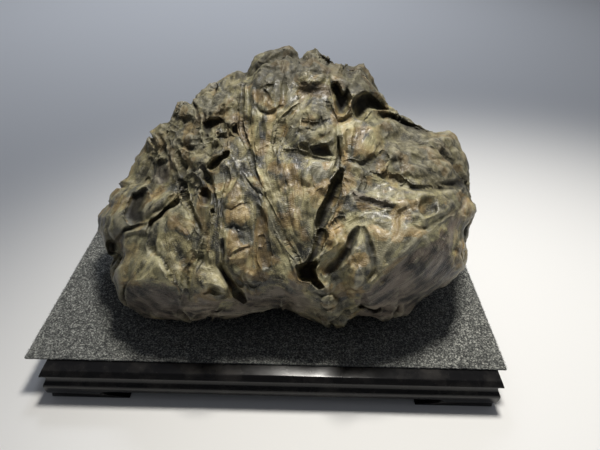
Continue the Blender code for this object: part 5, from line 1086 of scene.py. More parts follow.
def dome(places, middle, radii, turn, height, roundness):
    """A swelling."""
    c = math.cos(math.radians(turn))
    s = math.sin(math.radians(turn))
    rel = places - np.asarray(middle, float)
    a = (rel[:, 0] * c + rel[:, 1] * s) / radii[0]
    b = (rel[:, 1] * c - rel[:, 0] * s) / radii[1]
    return height * np.clip(1 - a * a - b * b, 0, 1) ** roundness


def relief(places):
    """Height of the stone's face towards the eye at each sheet place, in millimetres."""
    total = np.zeros(len(places))
    for height, left, right, stroke in RIDGES.values():
        near = around(places, stroke, max(left, right))
        total[near] += ridge(places[near], height, left, right, stroke)
    for swelling in DOMES.values():
        near = around(places, [swelling[0]], max(swelling[1]))
        total[near] += dome(places[near], *swelling)
    for middle, slope_u, slope_v, rise, soft, outline in FACETS.values():
        near = around(places, outline, soft)
        off = places[near] - np.array(middle)
        plane = rise + slope_u * off[:, 0] + slope_v * off[:, 1]
        total[near] += plane * ramp(-EDGE_SPILL * soft, soft, within(places[near], outline))
    cut = np.zeros(len(places))
    for width, depth, shoulder, fall, stroke in FISSURES.values():
        near = around(places, stroke, max(width, shoulder))
        total[near] += ridge(places[near], -fall, shoulder, shoulder, stroke, SHOULDER_CREST)
        cut[near] = np.minimum(cut[near], fissure(places[near], width, depth, stroke))
    for depth, soft, outline in PITS.values():
        near = around(places, outline, soft)
        cut[near] = np.minimum(cut[near], -depth * ramp(0, soft, within(places[near], outline)))
    return total + cut


def gathered(places, reach):
    """The places drawn in to the nearest fissure or ridge, so that the stone's edges run along them."""
    closest = np.full(len(places), FAR)
    target = places.copy()
    for stroke in EDGES:
        near = around(places, stroke, 2 * reach)
        d, foot, _, _ = along(places[near], stroke)
        better = d < closest[near]
        closest[near] = np.where(better, d, closest[near])
        target[near] = np.where(better[:, None], foot, target[near])
    pull = GATHER_SHARE * np.exp(-(closest / reach) ** 2)
    return places + pull[:, None] * (target - places)


def worn(places):
    """How worn the stone is at each sheet place, 0 to 1."""
    total = np.zeros(len(places))
    for fade, soft, outline in WORN.values():
        near = around(places, outline, soft)
        faded = fade * ramp(-EDGE_SPILL * soft, soft, within(places[near], outline))
        total[near] = np.maximum(total[near], faded)
    return total


# ---------------------------------------------------------------- the stone
def grid_of(rows, columns):
    """The numbers of a grid's points, row by row, and its quads."""
    grid = np.arange(rows * columns).reshape(rows, columns)
    corners = [grid[:-1, :-1], grid[1:, :-1], grid[1:, 1:], grid[:-1, 1:]]
    return grid, np.stack([corner.ravel() for corner in corners], axis=1)


def ball_grid(count):
    """Unit directions on a cube's six faces, count x count quads each, and the welded quads."""
    t = np.tan(np.linspace(-math.pi / 4, math.pi / 4, count + 1))
    a, b = [g.ravel() for g in np.meshgrid(t, t, indexing="ij")]
    one = np.ones_like(a)
    faces = [(one, a, b), (-one, b, a), (b, one, a), (a, -one, b), (a, b, one), (b, a, -one)]
    points = np.concatenate([np.stack(f, axis=1) for f in faces])
    keys = np.round(points * 1.0e6).astype(np.int64)
    _, first, welded = np.unique(keys, axis=0, return_index=True, return_inverse=True)
    _, quad = grid_of(count + 1, count + 1)
    quads = np.concatenate([quad + k * (count + 1) ** 2 for k in range(6)])
    quads = welded.ravel()[quads]
    points = unit(points[first])
    corners = points[quads]
    facing = np.cross(corners[:, 1] - corners[:, 0], corners[:, 2] - corners[:, 0])
    inward = (facing * corners.mean(axis=1)).sum(axis=1) < 0
    quads[inward] = quads[inward][:, ::-1]
    return points, quads


def mass_field(points):
    """Blended distance to the stone's masses, negative inside."""
    total = np.zeros(len(points))
    for middle, radii in MASSES:
        reach = np.sqrt((((points - np.array(middle)) / np.array(radii)) ** 2).sum(axis=1))
        total += np.exp(-(reach - 1) * min(radii) / MASS_BLEND)
    return -MASS_BLEND * np.log(total)


def cast(directions):
    """Where rays from the stone's heart leave its masses."""
    low = np.full(len(directions), RAY_REACH[0])
    high = np.full(len(directions), RAY_REACH[1])
    for _ in range(RAY_HALVINGS):
        middle = (low + high) / 2
        outside = mass_field(STONE_HEART + directions * middle[:, None]) > 0
        low = np.where(outside, low, middle)
        high = np.where(outside, middle, high)
    return STONE_HEART + directions * low[:, None]


def at_corners(count, quads, values):
    """The quads' values added up at their corners, for `count` points."""
    total = np.zeros((count, *values.shape[1:]))
    for k in range(4):
        np.add.at(total, quads[:, k], values)
    return total


def normals(points, quads):
    """The surface's unit normal at each point."""
    corners = points[quads]
    cross = np.cross(corners[:, 2] - corners[:, 0], corners[:, 3] - corners[:, 1])
    return unit(at_corners(len(points), quads, cross), 1.0e-12)


def towards_eye(points, normal):
    """Directions to the eye, and how squarely each point faces it."""
    toward = unit(EYE - points)
    return toward, (normal * toward).sum(axis=1)


def outline_reach(angles):
    """Distance from the sheet's hub to the stone's outline in each direction."""
    p = np.asarray(OUTLINE, float) - np.array(SHEET_HUB)
    dx = np.cos(angles)
    dy = np.sin(angles)
    reach = np.zeros(len(angles))
    for a, b in zip(p, np.roll(p, -1, axis=0)):
        run = b - a
        across = dx * run[1] - dy * run[0]
        across = np.where(np.abs(across) < 1.0e-9, 1.0e-9, across)
        r = (a[0] * run[1] - a[1] * run[0]) / across
        t = (a[0] * dy - a[1] * dx) / across
        hit = (r > 0) & (t >= -1.0e-9) & (t <= 1 + 1.0e-9)
        reach = np.where(hit, np.maximum(reach, r), reach)
    return reach


def fit_outline(points):
    """Stretch the stone away from the sheet's hub until its outline on the sheet is OUTLINE."""
    step = 2 * math.pi / OUTLINE_BINS
    wanted = outline_reach(-math.pi + (np.arange(OUTLINE_BINS) + 0.5) * step)
    kernel = np.exp(-(np.arange(-OUTLINE_SPAN, OUTLINE_SPAN + 1) / OUTLINE_BLUR) ** 2)
    kernel /= kernel.sum()
    for _ in range(OUTLINE_ROUNDS):
        places, depth = to_sheet(points)
        rays = places - np.array(SHEET_HUB)
        reach = np.hypot(rays[:, 0], rays[:, 1])
        turn = (np.arctan2(rays[:, 1], rays[:, 0]) + math.pi) / step
        own = np.ones(OUTLINE_BINS)
        np.maximum.at(own, np.floor(turn).astype(int) % OUTLINE_BINS, reach)
        scale = wanted / own
        padded = np.concatenate([scale[-OUTLINE_SPAN:], scale, scale[:OUTLINE_SPAN]])
        broad = np.convolve(padded, kernel, mode="valid")
        below = np.floor(turn - 0.5).astype(int)
        part = turn - 0.5 - below

        def read(table):
            return table[below % OUTLINE_BINS] * (1 - part) + table[(below + 1) % OUTLINE_BINS] * part

        rim = ramp(OUTLINE_RIM, 1.0, reach / read(own))
        factor = read(broad) * (1 - rim) + read(scale) * rim
        points = from_sheet(np.array(SHEET_HUB) + rays * factor[:, None], depth)
    return points


def settle(points):
    """Flatten what would go below the plane that the stone rests on."""
    above = points[:, 2] - STONE_FOOT_Z
    eased = FOOT_SOFTNESS * np.exp(np.clip(above / FOOT_SOFTNESS - 1, -30, 0))
    settled = points.copy()
    settled[:, 2] = STONE_FOOT_Z + np.where(above < FOOT_SOFTNESS, eased, above)
    return settled


def seat(points):
    """Let the lowest parts down until the stone stands on them."""
    above = points[:, 2] - STONE_FOOT_Z
    lowest = np.sort(above)[len(above) // SEAT_SHARE]
    seated = points.copy()
    lowered = above - lowest * (1 - ramp(0.0, SEAT_HEIGHT, above))
    seated[:, 2] = STONE_FOOT_Z + np.maximum(lowered, 0.0)
    return seated


def unsteady(places):
    """How far the drawing wavers at each sheet place."""
    flat = np.column_stack([places, np.zeros(len(places))])
    return UNSTEADY_BY * np.stack([fractal(flat, UNSTEADY_SIZE, 3, seed) for seed in UNSTEADY_SEEDS], axis=1)


def grained(points, grain, by, size, seed):
    """The points in the stone's grain, squashed and swerving."""
    squashed = points * np.array(grain)
    return squashed + by * swerve(squashed, size, seed)


def stone_form(count):
    """The stone's points and quads."""
    directions, quads = ball_grid(count)
    points = settle(cast(unit(directions - GRID_LEAN * AHEAD)))

    # Broad faces and clefts, strongest on the back and the sides, which the sheet doesn't reach.
    normal = normals(points, quads)
    _, facing = towards_eye(points, normal)
    grain = grained(points, BROAD_GRAIN, *BROAD_SWERVE)
    broad = sum(chips(grain, *layer) for layer in BROAD_CHIPS)
    broad -= CLEFT_DEPTH * np.clip(1 - clefts(grain, CLEFT_SIZE, CLEFT_SEED) / CLEFT_WIDTH, 0, 1)
    share = 1 - (1 - BROAD_LEFT) * ramp(*BROAD_FADES, facing)
    points = settle(fit_outline(points + normal * (broad * share)[:, None]))

    # The face: everything drawn on the sheet, a little unsteady like a broken edge.
    _, facing = towards_eye(points, normals(points, quads))
    places, depth = to_sheet(points)
    shaken = unsteady(places)
    moved = from_sheet(gathered(places + shaken, GATHER_REACH / count) - shaken, depth)
    points = points + (moved - points) * ramp(*GATHERED, facing)[:, None]
    toward, facing = towards_eye(points, normals(points, quads))
    places, _ = to_sheet(points)
    places = places + unsteady(places)
    height = relief(places) * MM * ramp(*DRAWN, facing)
    points = points + toward * height[:, None]

    # Small chipped faces all over, faint where the face is worn.
    grain = grained(points, SMALL_GRAIN, *SMALL_SWERVE)
    fine = sum(chips(grain, *layer) for layer in SMALL_CHIPS)
    fine *= 1 - worn(places) * ramp(*DRAWN, facing)
    return seat(settle(points + normals(points, quads) * fine[:, None])), quads


# ---------------------------------------------------------------- streaks and masks
def flow_sheet():
    """The streaks' direction on a grid over the sheet, as the cosine and sine of twice its angle."""
    us = np.arange(FLOW_LOW[0], FLOW_HIGH[0], FLOW_STEP)
    vs = np.arange(FLOW_LOW[1], FLOW_HIGH[1], FLOW_STEP)
    places = np.stack([g.ravel() for g in np.meshgrid(us, vs, indexing="ij")], axis=1)
    strokes = [(FLOW_OF_EDGES, stroke) for stroke in EDGES] + list(STREAKS.values())
    total = np.zeros((2, len(places)))
    total[0] -= FLOW_UPRIGHT
    for strength, stroke in strokes:
        p = np.asarray(stroke, float)
        for a, b in zip(p[:-1], p[1:]):
            run = b - a
            rel = places - a
            t = np.clip((rel @ run) / (run @ run), 0, 1)
            away = ((rel - t[:, None] * run) ** 2).sum(axis=1)
            pull = np.exp(-away / FLOW_NEAR ** 2) + FLOW_FAR_PULL * np.exp(-away / FLOW_FAR ** 2)
            turn = 2 * math.atan2(run[1], run[0])
            total[0] += strength * pull * math.cos(turn)
            total[1] += strength * pull * math.sin(turn)
    return total.reshape(2, len(us), len(vs))


def read_sheet(table, places):
    """Values of a grid over the sheet at places between its points."""
    x = np.clip((places[:, 0] - FLOW_LOW[0]) / FLOW_STEP, 0, table.shape[1] - 1.001)
    y = np.clip((places[:, 1] - FLOW_LOW[1]) / FLOW_STEP, 0, table.shape[2] - 1.001)
    i = x.astype(int)
    j = y.astype(int)
    x = x - i
    y = y - j
    low = table[:, i, j] * (1 - y) + table[:, i, j + 1] * y
    high = table[:, i + 1, j] * (1 - y) + table[:, i + 1, j + 1] * y
    return low * (1 - x) + high * x


def streak_flow(points, normal, facing):
    """The streaks' direction at each point, along the surface, as unit vectors."""
    places, _ = to_sheet(points)
    cos2, sin2 = read_sheet(flow_sheet(), places)
    angle = np.arctan2(sin2, cos2) / 2
    drawn = np.cos(angle)[:, None] * RIGHT - np.sin(angle)[:, None] * UP
    drawn *= np.where(drawn[:, 2] < 0, -1.0, 1.0)[:, None]
    wild = np.array([0.0, 0.0, 1.0]) + FLOW_WILD * swerve(points, *FLOW_SWERVE)
    share = ramp(*STREAKED, facing)[:, None]
    flow = drawn * share + wild * (1 - share)
    flow -= normal * (flow * normal).sum(axis=1)[:, None]
    return unit(flow, 1.0e-9)


def smeared(points, flow, size, reach, seed):
    """Noise drawn out along the flow, with a spread of about 1."""
    total = np.zeros(len(points))
    for k in np.linspace(-1, 1, SMEAR_TAPS):
        total += noise(points + flow * (k * reach), size, seed)
    return (total - total.mean()) / total.std()


def spread(points, quads, rounds):
    """The points averaged with their neighbours."""
    counts = at_corners(len(points), quads, np.ones(len(quads)))[:, None]
    for _ in range(rounds):
        points = at_corners(len(points), quads, points[quads].mean(axis=1)) / counts
    return points


def hollowness(points, quads, rounds):
    """How far each point lies under the surface around it, in metres: negative on crests."""
    broad = spread(points, quads, rounds)
    return ((broad - points) * normals(broad, quads)).sum(axis=1)


def painted(name, places, broken):
    """The mask `name`: its zones and spots on the sheet, with edges that streaks break up."""
    mask = np.zeros(len(places))
    for kind, strength, soft, outline in ZONES.values():
        if kind == name:
            near = around(places, outline, ZONE_REACH * soft)
            edge = within(places[near], outline) / soft + broken[near]
            mask[near] = np.maximum(mask[near], strength * ramp(*ZONE_EDGE, edge))
    for kind, strength, middle, radii, turn in SPOTS.values():
        if kind == name:
            near = around(places, [middle], SPOT_SPREAD * max(radii))
            swelling = dome(places[near], middle, SPOT_SPREAD * np.array(radii), turn, 1.0, 1.0)
            spot = strength * ramp(*SPOT_EDGE, swelling * (1 + SPOT_BREAK * broken[near]))
            mask[near] = np.maximum(mask[near], spot)
    return mask


def drawn_shade(places):
    """How much painted shade darkens the fissures and the pits, 0 to 1, by the strokes that cut them."""
    dark = np.zeros(len(places))
    for width, depth, _, _, stroke in FISSURES.values():
        near = around(places, stroke, SHADE_REACH * width)
        d, _, _, share = along(places[near], stroke)
        core = ramp(SHADE_REACH * width, SHADE_CORE * width, d) * tapered(share, 0.5)
        deep = min(1.0, SHADE_LEAST + (depth / SHADE_DEPTH) ** SHADE_CURVE)
        dark[near] = np.maximum(dark[near], core * deep)
    for depth, soft, outline in PITS.values():
        near = around(places, outline, soft)
        core = ramp(0.0, soft, within(places[near], outline))
        dark[near] = np.maximum(dark[near], core * min(1.0, (depth / SHADE_DEPTH) ** SHADE_CURVE))
    return dark


def stone_masks(points, quads):
    """Everything that the stone's shader reads, as one number or vector for each point."""
    normal = normals(spread(points, quads, MASK_ROUNDS), quads)
    _, facing = towards_eye(points, normal)
    places, _ = to_sheet(points)
    flow = streak_flow(points, normal, facing)
    fine, patchy, wide = [smeared(points, flow, *layer) for layer in STREAK_LAYERS]
    broken = np.clip(BROKEN_BY_FINE * fine + BROKEN_BY_PATCHY * patchy, -BROKEN_MOST, BROKEN_MOST)
    seen = ramp(*SEEN, facing)
    rise = normal[:, 2]
    height = points[:, 2]
    unseen = {
        "mauve": ramp(*MAUVE_UNDER, rise + MAUVE_BY_PATCHY * patchy) * ramp(*MAUVE_BELOW, height),
        "crust": CRUST_BEHIND * ramp(*CRUST_OVER, rise + CRUST_BY_WIDE * wide) * ramp(*CRUST_ABOVE, height),
        "stain_and_shade": STAIN_BEHIND * ramp(*STAIN_RANGE, wide + STAIN_BY_PATCHY * patchy),
    }
    for name, (strength, noise_range, layer) in UNSEEN_TINTS.items():
        unseen[name] = strength * ramp(*noise_range, smeared(points, flow, *layer))
    masks = {"flow": flow}
    for name, behind in unseen.items():
        drawn = painted(name, places, broken)
        if name in UNSEEN_TINTS:
            in_front = TINTS_IN_FRONT * behind * (1 - TINTS_LOST_ON_MAUVE * masks["mauve"])
            drawn = np.maximum(drawn, in_front)
        masks[name] = drawn * seen + behind * (1 - seen)
    of_fine, of_patchy, of_wide = TONE_OF_LAYERS
    streaky = of_fine * fine + of_patchy * patchy
    streaky *= (1 - STREAKS_LOST_ON_CRUST * masks["crust"]) * (1 + STREAKS_WON_ON_MAUVE * masks["mauve"])
    mottle = CRUST_MOTTLE * fractal(points, *CRUST_GRAIN) - CRUST_DARKER
    masks["tone"] = TONE_MIDDLE + streaky + of_wide * wide + masks["crust"] * mottle
    # Painted shade in the hollows, and painted shade drawn into the fissures and pits.
    made = sum(share * ramp(*depths, hollowness(points, quads, rounds)) for rounds, depths, share in HOLLOWS)
    drawn_shade_amount = drawn_shade(places + unsteady(places)) * ramp(*SHADE_SEEN, facing)
    masks["hollow"] = np.maximum(made * (1 - HOLLOWS_LOST_IN_FRONT * seen), drawn_shade_amount)
    # Painted highlights on the crests, where the surface stands above its surroundings.
    rounds, heights = HIGHLIGHT_CRESTS
    masks["crest"] = ramp(*heights, -hollowness(points, quads, rounds))
    return masks


def fine_relief(points, quads):
    """Ribs along the streaks, lumps, and pitting where the stone keeps its crust."""
    _, facing = towards_eye(points, normals(points, quads))
    normal = normals(spread(points, quads, RELIEF_ROUNDS), quads)
    flow = streak_flow(points, normal, facing)
    places, _ = to_sheet(points)
    clean = np.zeros(len(points))
    crust, mauve = [painted(name, places, clean) * ramp(*ROUGHENED, facing) for name in ("crust", "mauve")]
    ribs = (1 - np.abs(smeared(points, flow, *RIBS))) * (1 - RIBS_LOST_ON_MAUVE * mauve)
    pits = 1 - PITTING_SHARPNESS * np.abs(fractal(points, *PITTING))
    lumps = sum(chips(points, *layer) for layer in CRUST_LUMPS)
    lumps *= LUMPS_EVERYWHERE + (1 - LUMPS_EVERYWHERE) * crust
    height = RIB_HEIGHT * ribs + PITTING_HEIGHT * crust * pits + lumps
    return points + normal * height[:, None]


# ---------------------------------------------------------------- shader building
class Signal:
    """One output in a shader's tree. Sums, differences and products of signals make the nodes for them."""

    def __init__(self, tree, socket):
        self.tree = tree
        self.socket = socket

    def math(self, operation, a, b=0.0):
        return signal(self.tree, "ShaderNodeMath", {0: a, 1: b}, operation=operation)

    def __add__(self, other):
        return self.math("ADD", self, other)

    def __sub__(self, other):
        return self.math("SUBTRACT", self, other)

    def __rsub__(self, other):
        return self.math("SUBTRACT", other, self)

    def __mul__(self, other):
        return self.math("MULTIPLY", self, other)

    def clamped(self):
        """The same, kept within 0 to 1."""
        self.socket.node.use_clamp = True
        return self


def feed(made, values):
    """Set a node's inputs, each to a number, a colour or a signal."""
    for key, value in values.items():
        if isinstance(value, Signal):
            value.tree.links.new(value.socket, made.inputs[key])
        else:
            made.inputs[key].default_value = value


def signal(tree, kind, values=None, output=0, **settings):
    """The output of a new node: settings are its attributes, and values its inputs."""
    made = tree.nodes.new(kind)
    for name, value in settings.items():
        setattr(made, name, value)
    feed(made, values or {})
    return Signal(tree, made.outputs[output])


def blend(share, under, over):
    """One colour with another over it, by share."""
    values = {0: share}
    for key, colour in ((6, under), (7, over)):
        values[key] = colour if isinstance(colour, Signal) else (*colour, 1.0)
    return signal(share.tree, "ShaderNodeMix", values, 2, data_type="RGBA")


def between(value, low, high, to_low=0.0, to_high=1.0):
    """Value's way from low to high, smoothed and given a new range."""
    sockets = {"Value": value, "From Min": low, "From Max": high, "To Min": to_low, "To Max": to_high}
    return signal(value.tree, "ShaderNodeMapRange", sockets, interpolation_type="SMOOTHSTEP")


def by_mask(mask, factors):
    """The first factor where the mask is 0, the second where it is 1."""
    return between(mask, 0.0, 1.0, *factors)


def grains(place, size, detail, rough=0.5):
    """Noise, 0 to 1, with features about `size` metres across."""
    values = {"Vector": place, "Scale": 1 / size, "Detail": detail, "Roughness": rough}
    return signal(place.tree, "ShaderNodeTexNoise", values)


def moved(place, way, by):
    """The place moved along a vector."""
    step = signal(place.tree, "ShaderNodeVectorMath", {0: way, "Scale": by}, operation="SCALE")
    return signal(place.tree, "ShaderNodeVectorMath", {0: place, 1: step})


def attribute(tree, name, output="Fac"):
    """One of the vertex attributes that put_attribute makes."""
    return signal(tree, "ShaderNodeAttribute", output=output, attribute_name=name)


def new_shader(name):
    """A material, its Principled shader, and the point's place."""
    made = bpy.data.materials.new(name)
    made.use_nodes = True
    tree = made.node_tree
    return made, tree.nodes["Principled BSDF"], signal(tree, "ShaderNodeTexCoord", output="Object")


def colour_ramp(value, stops):
    made = signal(value.tree, "ShaderNodeValToRGB", {0: value})
    elements = made.socket.node.color_ramp.elements
    while len(elements) < len(stops):
        elements.new(0.5)
    for element, (position, colour) in zip(elements, stops):
        element.position = position
        element.color = (*colour, 1.0)
    return made


def bump(height, distance, strength):
    values = {"Height": height, "Distance": distance, "Strength": strength}
    return signal(height.tree, "ShaderNodeBump", values)


def shaded(colour, by):
    return [by * c for c in colour]


# ---------------------------------------------------------------- materials
def stone_shader():
    """Stained limestone: streaky olive, tan and blue-grey, faintly waxed where it isn't crusted or in a
    hollow.
    Painted shade darkens the hollows, fissures and pits, and painted highlights lighten the crests.
    """
    made, shader, place = new_shader("stone_surface")
    tree = place.tree
    crust, mauve, hollow = [attribute(tree, name) for name in ("crust", "mauve", "hollow")]

    # Streaks are fine grains averaged along the flow; everything else is grains in place.
    flow = attribute(tree, "flow", "Vector")
    taps = [grains(moved(place, flow, STREAK_REACH * k), *STREAK_GRAIN) for k in STREAK_TAPS]
    streak = (sum(taps[1:], taps[0]) - len(taps) / 2) * STREAK_GAIN
    streak = streak * by_mask(crust, STREAK_ON_CRUST) * by_mask(mauve, STREAK_ON_MAUVE)
    fleck = grains(place, *FLECK_GRAIN)
    swirl = signal(tree, "ShaderNodeTexNoise", {"Vector": place, "Scale": SWIRL_SCALE}, "Color")
    swirled = moved(place, swirl, SWIRL_BY)
    blot = between(grains(swirled, *BLOT_GRAIN), *BLOT_RANGE)
    speck = between(grains(swirled, *SPECK_GRAIN), *SPECK_RANGE)
    tone = attribute(tree, "tone") + streak * STREAK_TONE + blot + speck
    tone = (tone + (fleck - 0.5) * FLECK_TONE).clamped()

    colour = colour_ramp(tone, STONE_TONES)
    broken = (grains(place, *MARBLE_GRAIN) - 0.5) * MARBLE_BREAK
    for name, tint, share, swing in STONE_TINTS:
        tinted = attribute(tree, name)
        amount = tinted * share * between(tinted + broken, *TINT_EDGE)
        colour = blend(amount, colour, blend(tone, shaded(tint, 1 - swing), shaded(tint, 1 + swing)))
    colour = blend(crust * between(fleck, *CRUST_FLECKS) * CRUST_SHARE, colour, STONE_CRUST)
    colour = blend(crust * CRUST_SHADE, colour, BLACK)
    bent = tone.math("ABSOLUTE", grains(place, *VEIN_GRAIN) - 0.5)
    vein = between(bent, *VEIN_RANGE) * between(fleck, *VEIN_FLECKS) * by_mask(mauve, VEIN_ON_MAUVE)
    # Light veins, in the painted highlights' colour.
    colour = blend(vein, colour, STONE_HIGHLIGHT_AND_VEIN)
    # Over it: painted highlights on the crests, stain and painted shade, and painted shade in the hollows.
    for name, share, over in STONE_OVERLAYS:
        colour = blend((attribute(tree, name) * share).clamped(), colour, over)

    rough = crust * ROUGH_OF_CRUST + STONE_ROUGH + hollow * ROUGH_IN_HOLLOWS
    bare = tone.math("MAXIMUM", crust * WAX_LOST_ON_CRUST, hollow).clamped()
    cells = {"Vector": swirled, "Scale": CHIP_SCALE}
    chip = signal(tree, "ShaderNodeTexVoronoi", cells, "Distance", distance="CHEBYCHEV")
    height = streak * BUMP_OF_STREAK + fleck * BUMP_OF_FLECK + chip * by_mask(mauve, CHIP_ON_MAUVE)
    feed(shader, {
        "Base Color": colour,
        "Roughness": (rough + (fleck - 0.5) * ROUGH_OF_FLECK).clamped(),
        "Coat Weight": (1.0 - bare) * WAX,
        "Coat Roughness": WAX_ROUGH,
        "Normal": bump(height, *STONE_BUMP),
    })
    return made


def felt_shader():
    """Needled felt in mixed light and dark grey wool."""
    made, shader, place = new_shader("grey_felt")
    mixed = grains(place, *NAP_GRAIN) * NAP_SHARE + grains(place, *TUFT_GRAIN) * (1 - NAP_SHARE)
    mixed = mixed + (grains(place, *FELT_CLOUD_GRAIN) - 0.5) * FELT_CLOUD_SHARE
    feed(shader, {"Base Color": colour_ramp(mixed, FELT_TONES), "Normal": bump(mixed, *FELT_BUMP)})
    feed(shader, FELT_FINISH)
    return made


def fibre_shader(name, colour):
    """One shade of wool, a little uneven along each fibre."""
    made, shader, place = new_shader(name)
    dark, light = [shaded(colour, by) for by in WOOL_SHADES]
    feed(shader, {"Base Color": blend(grains(place, *WOOL_GRAIN), dark, light), "Roughness": WOOL_ROUGH})
    return made


def lacquer_shader():
    """Black gloss lacquer with dust, fine wipe marks and rubbed arrises."""
    made, shader, place = new_shader("black_lacquer")
    stretched = signal(place.tree, "ShaderNodeMapping", {"Vector": place, "Scale": WIPE_STRETCH})
    wipes = grains(stretched, *WIPE_GRAIN)
    cloud = grains(place, *LACQUER_CLOUD_GRAIN)
    specks = between(grains(place, *DUST_GRAIN), *DUST_RANGE) * between(cloud, *DUSTY_RANGE)
    rubbed = attribute(place.tree, "arris") * between(cloud, *RUBBED_RANGE)
    colour = blend(specks * DUST_SHARE, LACQUER_BLACK, LACQUER_DUST)
    rough = wipes * ROUGH_OF_WIPES + cloud * ROUGH_OF_CLOUD + (specks * ROUGH_OF_DUST + LACQUER_ROUGH)
    feed(shader, {
        "Base Color": blend(rubbed * RUBBED_SHARE, colour, LACQUER_RUBBED),
        "Roughness": rough.clamped(),
        "Normal": bump(cloud * BUMP_OF_CLOUD + wipes * BUMP_OF_WIPES, *LACQUER_BUMP),
    })
    feed(shader, LACQUER_FINISH)
    return made


# ---------------------------------------------------------------- pieces
def add_object(name, points, faces, finish, body="root"):
    """A mesh object in the scene, riding the body if there is one."""
    mesh = bpy.data.meshes.new(name)
    mesh.from_pydata([tuple(p) for p in points], [], [tuple(f) for f in faces])
    mesh.update()
    if finish is not None:
        mesh.materials.append(finish)
    made = bpy.data.objects.new(name, mesh)
    bpy.context.scene.collection.objects.link(made)
    if body:
        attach(made, body)
    return made


def add_rings(name, rings, finish, body="root"):
    """A closed piece through rings of points, each ring as long as the next, with a face on both ends."""
    count = len(rings[0])
    last = count * (len(rings) - 1)
    faces = [tuple(range(count)), tuple(range(last + count - 1, last - 1, -1))]
    for first in range(0, last, count):
        for k in range(count):
            after = (k + 1) % count
            faces.append((first + k, first + count + k, first + count + after, first + after))
    return add_object(name, [point for ring in rings for point in ring], faces, finish, body)


def apply_modifiers(piece):
    """Give the piece the mesh that its modifiers make, and drop them."""
    graph = bpy.context.evaluated_depsgraph_get()
    made = bpy.data.meshes.new_from_object(piece.evaluated_get(graph))
    piece.modifiers.clear()
    piece.data = made


def shade_smooth(piece):
    piece.data.polygons.foreach_set("use_smooth", [True] * len(piece.data.polygons))


def put_attribute(mesh, name, values):
    """Give the mesh one number or one vector for each of its points."""
    kind, key = ("FLOAT", "value") if values.ndim == 1 else ("FLOAT_VECTOR", "vector")
    layer = mesh.attributes.new(name, kind, "POINT")
    layer.data.foreach_set(key, values.astype(np.float32).ravel())


def make_stone():
    """The stone, thinned to STONE_TRIANGLES, with its masks as vertex attributes."""
    points, quads = stone_form(STONE_GRID)
    points += STONE_EASING * (spread(points, quads, 1) - points)
    points = seat(fine_relief(points, quads))
    stone = add_object("stone", points, quads, stone_shader())
    for name, values in stone_masks(points, quads).items():
        put_attribute(stone.data, name, values)
    if 2 * len(quads) > STONE_TRIANGLES:
        thin = stone.modifiers.new("thin", "DECIMATE")
        thin.ratio = STONE_TRIANGLES / (2 * len(quads))
        apply_modifiers(stone)
    shade_smooth(stone)
    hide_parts("rock")


def make_felt():
    """The felt sheet: a fine slab with an uneven nap and cut edge."""
    across = int((MAT_HIGH.x - MAT_LOW.x) / FELT_STEP)
    deep = int((MAT_HIGH.y - MAT_LOW.y) / FELT_STEP)
    xs = np.linspace(MAT_LOW.x, MAT_HIGH.x, across + 1)
    ys = np.linspace(MAT_LOW.y, MAT_HIGH.y, deep + 1)
    x, y = [g.ravel() for g in np.meshgrid(xs, ys, indexing="ij")]
    fringe = np.minimum.reduce([x - MAT_LOW.x, MAT_HIGH.x - x, y - MAT_LOW.y, MAT_HIGH.y - y])
    frayed = FELT_RAGGED * (1 - ramp(0.0, 2 * FELT_STEP, fringe))[:, None]
    ragged_size, ragged_seed = FELT_RAGGED_NOISE
    sides = []
    for height, rough in ((MAT_HIGH.z, FELT_NAP), (MAT_LOW.z, FELT_NAP / 3)):
        side = np.stack([x, y, np.full_like(x, height)], axis=1)
        ragged = np.stack([noise(side, ragged_size, ragged_seed + k) for k in (0, 1)], axis=1)
        side[:, :2] += frayed * ragged
        side[:, 2] += rough * fractal(side, *FELT_NAP_NOISE) - FELT_NAP_SUNK * rough
        sides.append(side)
    grid, quads = grid_of(across + 1, deep + 1)
    under = len(x)
    rim = list(grid[:, 0]) + list(grid[-1, 1:]) + list(grid[-2::-1, -1]) + list(grid[0, -2:0:-1])
    faces = quads.tolist() + (quads[:, ::-1] + under).tolist()
    for a, b in zip(rim, rim[1:] + rim[:1]):
        faces.append((b, a, a + under, b + under))
    felt = add_object("felt_mat", np.concatenate(sides), faces, felt_shader())
    shade_smooth(felt)
    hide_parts("mat")
    return felt


